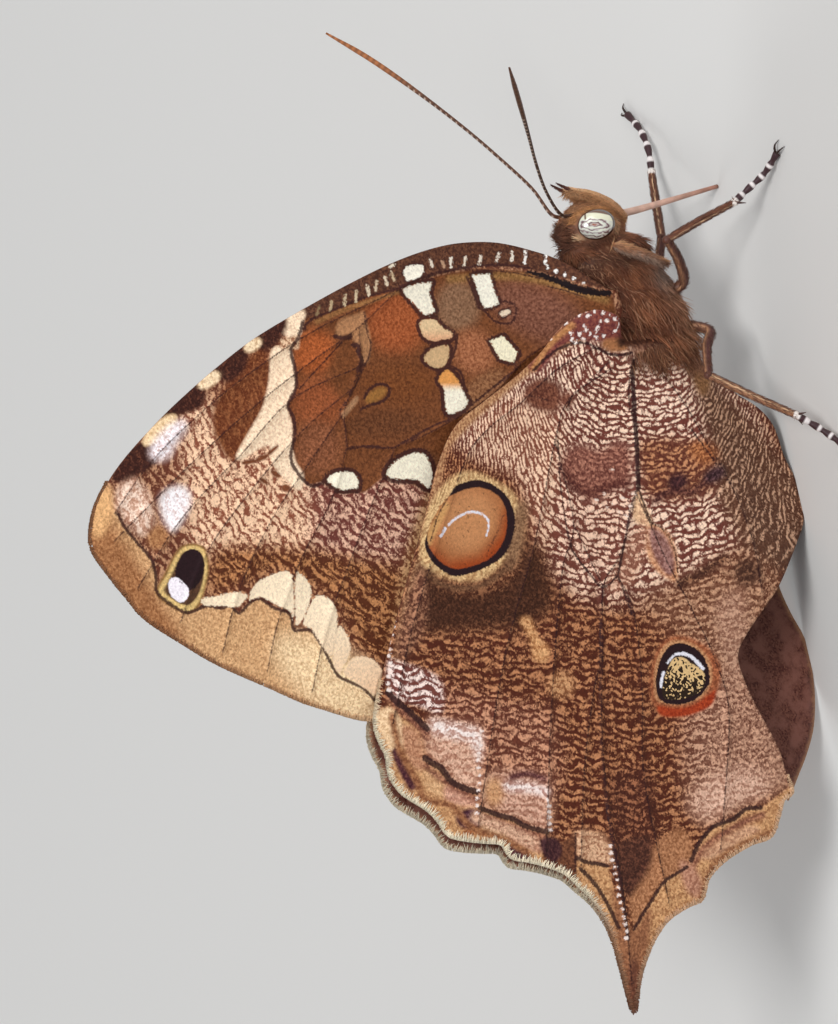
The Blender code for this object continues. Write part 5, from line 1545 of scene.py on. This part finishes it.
PALP_PATH = [
    (5.7, 0.95, 8.4), (6.6, 0.85, 9.0), (7.3, 0.72, 9.8), (7.85, 0.6, 10.7), (8.2, 0.5, 11.5),
    (8.45, 0.44, 12.05), (8.95, 0.38, 12.8),
]
for side, way in (("right", -1.0), ("left", 1.0)):
    path = [(x, way * y, z) for x, y, z in PALP_PATH]
    points, faces, share, angle = tube(path, [0.2, 0.27, 0.3, 0.28, 0.24, 0.15, 0.1, 0.03], 14, 0.8)
    colours = shades(share, [
        (0.0, (160, 116, 84)), (0.6, (180, 130, 90)), (0.76, (196, 148, 106)), (0.80, (92, 52, 44)),
        (1.0, (62, 36, 34)),
    ])
    bars(f"palp_core_{side}", [(points, faces, colours)], fur_hair, (f"palp_{side}",))
    roots, normals = scattered(points, faces, 4200, 21)
    x, y, z = roots.T
    place = np.clip((z - 8.2) / 4.6, 0, 1)
    front = np.clip(normals[:, 0], 0, 1)
    behind = np.clip(-normals[:, 0], 0, 1)
    ahead = np.stack([0.3 + 0.5 * front - 1.3 * behind, np.zeros(len(x)), 1.0 - 0.9 * behind], axis=1)
    ahead += np.random.default_rng(4).normal(0, 0.16, (len(x), 3))
    colours = shades(place, [
        (0.0, (190, 146, 112)), (0.5, (208, 162, 118)), (0.78, (224, 182, 140)), (0.83, (104, 60, 50)),
        (1.0, (72, 42, 38)),
    ])
    rust = (np.clip(0.8 - 2.4 * front, 0, 0.6) * (place < 0.8))[:, None]
    colours = (colours * (1 - rust) + tint(160, 108, 68) * rust)
    colours *= np.random.default_rng(6).uniform(0.7, 1.35, len(x))[:, None]
    long = np.where(place > 0.8, 0.16, 0.22 + 0.5 * behind)
    tufts(f"palp_coat_{side}", roots, normals, ahead, long, np.full(len(x), 0.024),
          np.where(place > 0.8, 0.04, 0.3 + 0.5 * behind), colours, body_places(roots), fur_hair, 12)

# Tongue: a dull pink tube that reaches from under the head to the floor.
points, faces, share, angle = tube(
    [(6.1, 0.0, 9.2), (6.1, 0.0, 7.4), (6.2, 0.0, 5.6), (6.4, 0.05, 2.8), (6.6, 0.1, 0.06)],
    [0.27, 0.25, 0.21, 0.17, 0.14], 16,
)
colours = shades(share, [(0.0, (214, 178, 160)), (0.5, (208, 166, 148)), (1.0, (160, 110, 92))])
colours *= (0.9 + 0.1 * np.sin(share * 420.0))[:, None]
bars("tongue_tube", [(points, faces, colours)], horn_scales, ("proboscis",))

# Feelers: thin shafts of short joints with small pale dots, thickening to a slim club.
FEELERS = {
    "right": ([
        (6.6, -0.6, 12.0), (6.8, -0.7, 13.2), (8.4, -2.6, 15.1), (10.2, -5.4, 17.1), (12.4, -9.0, 19.4),
        (14.6, -12.7, 21.8), (16.4, -15.6, 23.7),
    ], (70, 44, 34), (92, 58, 42)),
    "left": ([
        (6.6, 0.6, 12.0), (7.0, 0.7, 13.1), (9.0, 1.6, 13.6), (11.4, 3.4, 14.4), (14.0, 5.3, 15.5),
        (17.2, 7.9, 17.0), (20.2, 10.2, 18.8), (22.6, 12.3, 20.5),
    ], (96, 60, 42), (164, 100, 56)),
}
for side, (path, shaft, club) in FEELERS.items():
    radii = [0.15, 0.11, 0.11, 0.11, 0.11, 0.12, 0.15, 0.18, 0.17, 0.07]
    points, faces, share, angle = tube(path, radii, 12, 1.0, 0.12)
    joint = 0.5 + 0.5 * np.sin(share * 2 * math.pi * 46)
    colours = shades(share, [(0.0, shaft), (0.62, shaft), (0.8, club), (1.0, club)])
    colours = colours * (0.55 + 0.6 * joint)[:, None]
    dots = (joint > 0.86) & (np.abs(np.sin(angle)) > 0.8) & (share < 0.7) & (share > 0.04)
    colours[dots] = tint(196, 176, 160)
    bars(f"feeler_{side}", [(points, faces, colours)], horn_scales, (f"antenna_{side}",))

# Forelegs: small brushes of hair folded against the front of the thorax, not used for walking.
for side, way in (("right", -1.0), ("left", 1.0)):
    path = [(x, way * y, z) for x, y, z in
            [(4.1, 2.3, 10.7), (3.5, 2.8, 9.8), (2.9, 3.0, 8.8), (2.4, 2.95, 7.8), (2.2, 2.8, 7.3)]]
    points, faces, share, angle = tube(path, [0.16, 0.24, 0.26, 0.2, 0.08], 14)
    colours = shades(share, [(0.0, (140, 92, 62)), (1.0, (112, 78, 60))])
    bars(f"foreleg_core_{side}", [(points, faces, colours)], fur_hair, (f"foreleg_{side}",))
    roots, normals = scattered(points, faces, 3800, 31)
    chance = np.random.default_rng(8)
    crest = np.clip(normals[:, 0] * 0.9 + normals[:, 2] * 0.5, -1, 1)
    back = np.stack([-0.5 - 0.8 * (crest < -0.1), np.zeros(len(roots)), np.full(len(roots), -1.0)], axis=1)
    back += chance.normal(0, 0.24, (len(roots), 3))
    colours = shades(crest, [(-0.6, (106, 70, 54)), (-0.1, (178, 150, 132)), (0.2, (160, 110, 82)),
                             (0.7, (222, 170, 124))])
    colours *= chance.uniform(0.6, 1.3, len(roots))[:, None]
    tufts(f"foreleg_coat_{side}", roots, normals, back, chance.uniform(0.3, 0.8, len(roots)),
          np.full(len(roots), 0.026), chance.uniform(0.1, 0.4, len(roots)), colours, body_places(roots),
          fur_hair, 13)

# Walking legs: thigh, shin with two spurs, and a foot of five joints banded white, with claws.
LEGS = {
    "midleg_right": (
        [(0.2, -1.2, 6.8), (0.6, -2.1, 5.8), (2.1, -3.15, 6.4), (3.6, -4.0, 7.5)],
        [(3.6, -4.0, 7.5), (4.4, -5.0, 5.2), (5.1, -6.0, 2.9)],
        [(5.1, -6.0, 2.9), (5.9, -6.6, 1.7), (6.6, -7.3, 0.8), (7.7, -8.4, 0.2)],
    ),
    "midleg_left": (
        [(0.2, 1.2, 6.4), (0.8, 2.0, 5.2), (2.4, 2.6, 4.4), (4.0, 3.2, 3.4)],
        [(4.0, 3.2, 3.4), (6.4, 4.7, 2.3), (8.6, 6.0, 1.3)],
        [(8.6, 6.0, 1.3), (10.2, 6.4, 0.9), (11.7, 7.6, 0.45), (13.0, 9.2, 0.2)],
    ),
    "hindleg_right": (
        [(-2.0, -0.9, 6.4), (-2.9, -2.7, 5.0), (-4.0, -3.6, 6.0), (-5.9, -4.3, 6.8)],
        [(-5.9, -4.3, 6.8), (-7.9, -5.8, 4.7), (-9.8, -7.2, 2.5)],
        [(-9.8, -7.2, 2.5), (-11.0, -7.8, 1.3), (-12.1, -8.6, 0.6), (-13.2, -9.7, 0.2)],
    ),
    "hindleg_left": (
        [(-2.0, 0.9, 6.4), (-2.9, 2.7, 5.0), (-4.1, 3.7, 5.9), (-6.1, 4.5, 6.4)],
        [(-6.1, 4.5, 6.4), (-8.2, 6.1, 4.4), (-10.2, 7.7, 2.4)],
        [(-10.2, 7.7, 2.4), (-11.5, 8.5, 1.3), (-12.8, 9.5, 0.6), (-14.0, 10.7, 0.2)],
    ),
}
claw_parts = []
for name, (femur, tibia, tarsus) in LEGS.items():
    warm = name.startswith("hind")
    parts = []
    points, faces, share, angle = tube(femur, [0.4, 0.36, 0.33, 0.3, 0.27])
    # The lighter orange-brown stripe along the top of the thigh is a painted highlight.
    ridge = np.exp(-((np.sin(angle) - 0.7) / 0.24) ** 2)[:, None]
    colours = tint(82, 46, 44) * (1 - ridge) + tint(190, 140, 104) * ridge
    parts.append((points, faces, colours))
    for centre, size in ((femur[-1], 0.31), (tarsus[0], 0.27)):
        build = bmesh.new()
        add_ball(build, centre, (size, size, size), 20, 14)
        knob, knob_faces = triangle_arrays(mesh_of(build, "knob"))
        shade = (96, 60, 50) if centre is femur[-1] else (236, 226, 218)
        parts.append((knob, knob_faces, np.tile(tint(*shade), (len(knob), 1))))
    points, faces, share, angle = tube(tibia, [0.27, 0.29, 0.27, 0.24], 16, 0.8)
    top, under = np.sin(angle) > 0.3, np.sin(angle) < -0.45
    colours = np.tile(tint(164, 116, 84) if warm else tint(120, 74, 54), (len(points), 1))
    colours[under] = tint(46, 28, 32)
    edge = (np.sin(angle) > 0.1) & (np.sin(angle) < 0.5)
    colours[edge] = tint(226, 186, 146)
    parts.append((points, faces, colours))
    beads = [0.17, 0.24, 0.27] * 5
    points, faces, share, angle = tube(tarsus, beads, 14, 1.0, 0.12)
    band = (share * 5) % 1.0
    colours = np.tile(tint(64, 42, 46), (len(points), 1))
    colours[(band > 0.72) & (share < 0.9)] = tint(232, 224, 222)
    colours[share < 0.06] = tint(240, 232, 226)
    parts.append((points, faces, colours))
    heel, toe = np.array(tibia[-1]), np.array(tarsus[-1])
    shin = heel - np.array(tibia[-2])
    shin /= np.linalg.norm(shin)
    ahead = (toe - np.array(tarsus[-2])) * (1.0, 1.0, 0.0)
    ahead /= np.linalg.norm(ahead)
    aside = np.cross(ahead, (0.0, 0.0, 1.0))
    for way in (-1.0, 1.0):
        spur = heel + shin * 0.63 + aside * way * 0.54
        points, faces, share, angle = tube([heel, (heel + spur) / 2, spur], [0.1, 0.08, 0.02], 10)
        parts.append((points, faces, np.tile(tint(70, 44, 40), (len(points), 1))))
        start = toe - ahead * 0.15 + (0.0, 0.0, 0.06)
        middle = toe + ahead * 0.42 + aside * way * 0.28 + (0.0, 0.0, 0.14)
        tip = toe + ahead * 0.84 + aside * way * 0.38
        tip[2] = 0.06
        points, faces, share, angle = tube([start, middle, tip], [0.1, 0.08, 0.02], 10, 1.0, 0.1)
        claw_parts.append((points, faces, np.tile(tint(46, 28, 24), (len(points), 1))))
    bars(f"{name}_shell", parts, horn_scales, (name,))
    roots, normals, lies = [], [], []
    for points, faces, _ in (parts[0], parts[3]):
        some, outward = scattered(points, faces, 900, 41)
        roots.append(some)
        normals.append(outward)
        lies.append(np.tile(points[-1] - points[-2], (len(some), 1)))
    roots, normals, lies = np.concatenate(roots), np.concatenate(normals), np.concatenate(lies)
    colours = tint(98, 62, 50) * np.random.default_rng(9).uniform(0.5, 2.0, len(roots))[:, None]
    tufts(f"{name}_hair", roots, normals, lies, np.full(len(roots), 0.36), np.full(len(roots), 0.018),
          np.full(len(roots), 0.45), colours, body_places(roots), horn_scales, 14)
bars("claws", claw_parts, horn_scales)


# Fringe: a comb of fine scales along each wing's outer edge, cream and brown in stretches along the edge.
def fringe(name, line, depth, way, length, shades_along, turn=0.0, drop=0.0, per_mm=66, seed=51):
    chance = np.random.default_rng(seed)
    path = curve_through(line, 0.25)
    reach = reached(path)
    count = int(reach[-1] * per_mm)
    stops = np.sort(chance.uniform(0, reach[-1], count))
    x, z = at_stops(path, reach, stops).T
    ax, az = at_stops(unit(np.gradient(path, axis=0)), reach, stops).T
    out_x, out_z = -az, ax
    inward = 0.2
    x, z = x - out_x * inward, z - out_z * inward
    y = depth(x, z) + chance.normal(0, 0.05, count)
    roots = np.stack([x, y, z], axis=1)
    lies = np.stack([out_x, chance.normal(0, 0.08, count), out_z], axis=1)
    lies += np.stack([ax, np.zeros(count), az], axis=1) * chance.normal(0.1, 0.22, count)[:, None]
    normals = np.tile((0.0, 1.0, 0.0), (count, 1))
    roots[:, 1] *= way
    if turn or drop:
        roots[:, 0], roots[:, 2] = hinged(roots[:, 0], roots[:, 2], turn, drop)
        c, s = math.cos(turn), math.sin(turn)
        lie_x, lie_y, lie_z = lies.T
        lies = np.stack([lie_x * c - lie_z * s, lie_y, lie_x * s + lie_z * c], axis=1)
    colours = shades(stops / reach[-1], shades_along) * chance.uniform(0.85, 1.2, count)[:, None]
    lengths = np.interp(stops / reach[-1], np.linspace(0, 1, len(length)), length)
    lengths = lengths * chance.uniform(0.7, 1.2, count)
    places = np.stack([stops / reach[-1] * 0.98, chance.random(count) * 0.98], axis=1)
    tufts(name, roots, normals, lies, lengths, np.full(count, 0.04), np.full(count, 0.06), colours, places,
          fur_hair, seed)


CREAM = (248, 236, 210)
fore_edge = [(-4.4, 51.3), (-5.9, 52.6), (-7.6, 53.4)] + FOREWING_OUTER + [(-23.2, 34.8)]
hind_edge = [(-21.0, 35.0), (-23.5, 36.1)] + HINDWING_OUTER
fore_shades = [(0.0, (150, 104, 70)), (0.4, (150, 100, 66)), (0.8, (190, 146, 106)), (1.0, (226, 190, 150))]
hind_shades = [
    (0.0, (240, 206, 166)), (0.06, CREAM), (0.44, CREAM), (0.5, (196, 150, 116)),
    (0.6, (120, 76, 56)), (0.68, (204, 164, 130)), (1.0, (224, 186, 150)),
]
for side, way, drop, turn in (
    ("right", -1.0, 0.0, 0.0), ("left", 1.0, LEFT_FOREWING_DROP, LEFT_HINDWING_TURN),
):
    fringe(f"fringe_fore_{side}", fore_edge, forewing_y, way, (0.2, 0.35, 0.4, 0.4, 0.45), fore_shades,
           0.0, drop)
    fringe(f"fringe_hind_{side}", hind_edge, hindwing_y, way,
           (0.4, 0.62, 0.62, 0.6, 0.5, 0.4, 0.45, 0.45, 0.4), hind_shades, turn)


# Floor, light and camera.
floor_mesh = bpy.data.meshes.new("floor")
floor_mesh.from_pydata([(-2, -2, 0), (2, -2, 0), (2, 2, 0), (-2, 2, 0)], [], [(0, 1, 2, 3)])
floor = bpy.data.objects.new("floor", floor_mesh)
bpy.context.scene.collection.objects.link(floor)
pale_floor, _, floor_shader = new_material("pale_floor")
floor_shader.inputs["Base Color"].default_value = (0.72, 0.71, 0.69, 1.0)
floor_shader.inputs["Roughness"].default_value = 0.9
floor.data.materials.append(pale_floor)

centre = Vector(in_place(AIM))
for name, away, size, power in (
    ("key", Vector((0.12, -0.30, 0.42)), 0.16, 1.5),
    ("fill", Vector((0.35, -0.25, 0.10)), 0.30, 0.35),
    ("rim", Vector((-0.30, 0.35, 0.30)), 0.25, 0.6),
):
    data = bpy.data.lights.new(name, "AREA")
    data.energy = power
    data.size = size
    lamp = bpy.data.objects.new(name, data)
    lamp.location = centre + away
    lamp.rotation_euler = (-away).to_track_quat("-Z", "Y").to_euler()
    bpy.context.scene.collection.objects.link(lamp)
world = bpy.data.worlds.new("studio")
world.use_nodes = True
world.node_tree.nodes["Background"].inputs[0].default_value = (0.95, 0.97, 1.0, 1.0)
world.node_tree.nodes["Background"].inputs[1].default_value = 0.45
bpy.context.scene.world = world
bpy.context.scene.view_settings.view_transform = "Standard"

camera_data = bpy.data.cameras.new("camera")
camera_data.sensor_width = 36.0
camera_data.lens = 36.0 * DISTANCE * PIXELS_PER_MM / PICTURE[1]
camera_data.clip_start = 0.01
camera_data.clip_end = 20.0
camera = bpy.data.objects.new("camera", camera_data)
right = -ROLL_SIN * ACROSS - ROLL_COS * UPWARD
up = ROLL_COS * ACROSS - ROLL_SIN * UPWARD
turn = Matrix((right, up, -AWAY)).transposed().to_4x4()
camera.matrix_world = Matrix.Translation(in_place(AIM - AWAY * DISTANCE)) @ turn
bpy.context.scene.collection.objects.link(camera)
bpy.context.scene.camera = camera
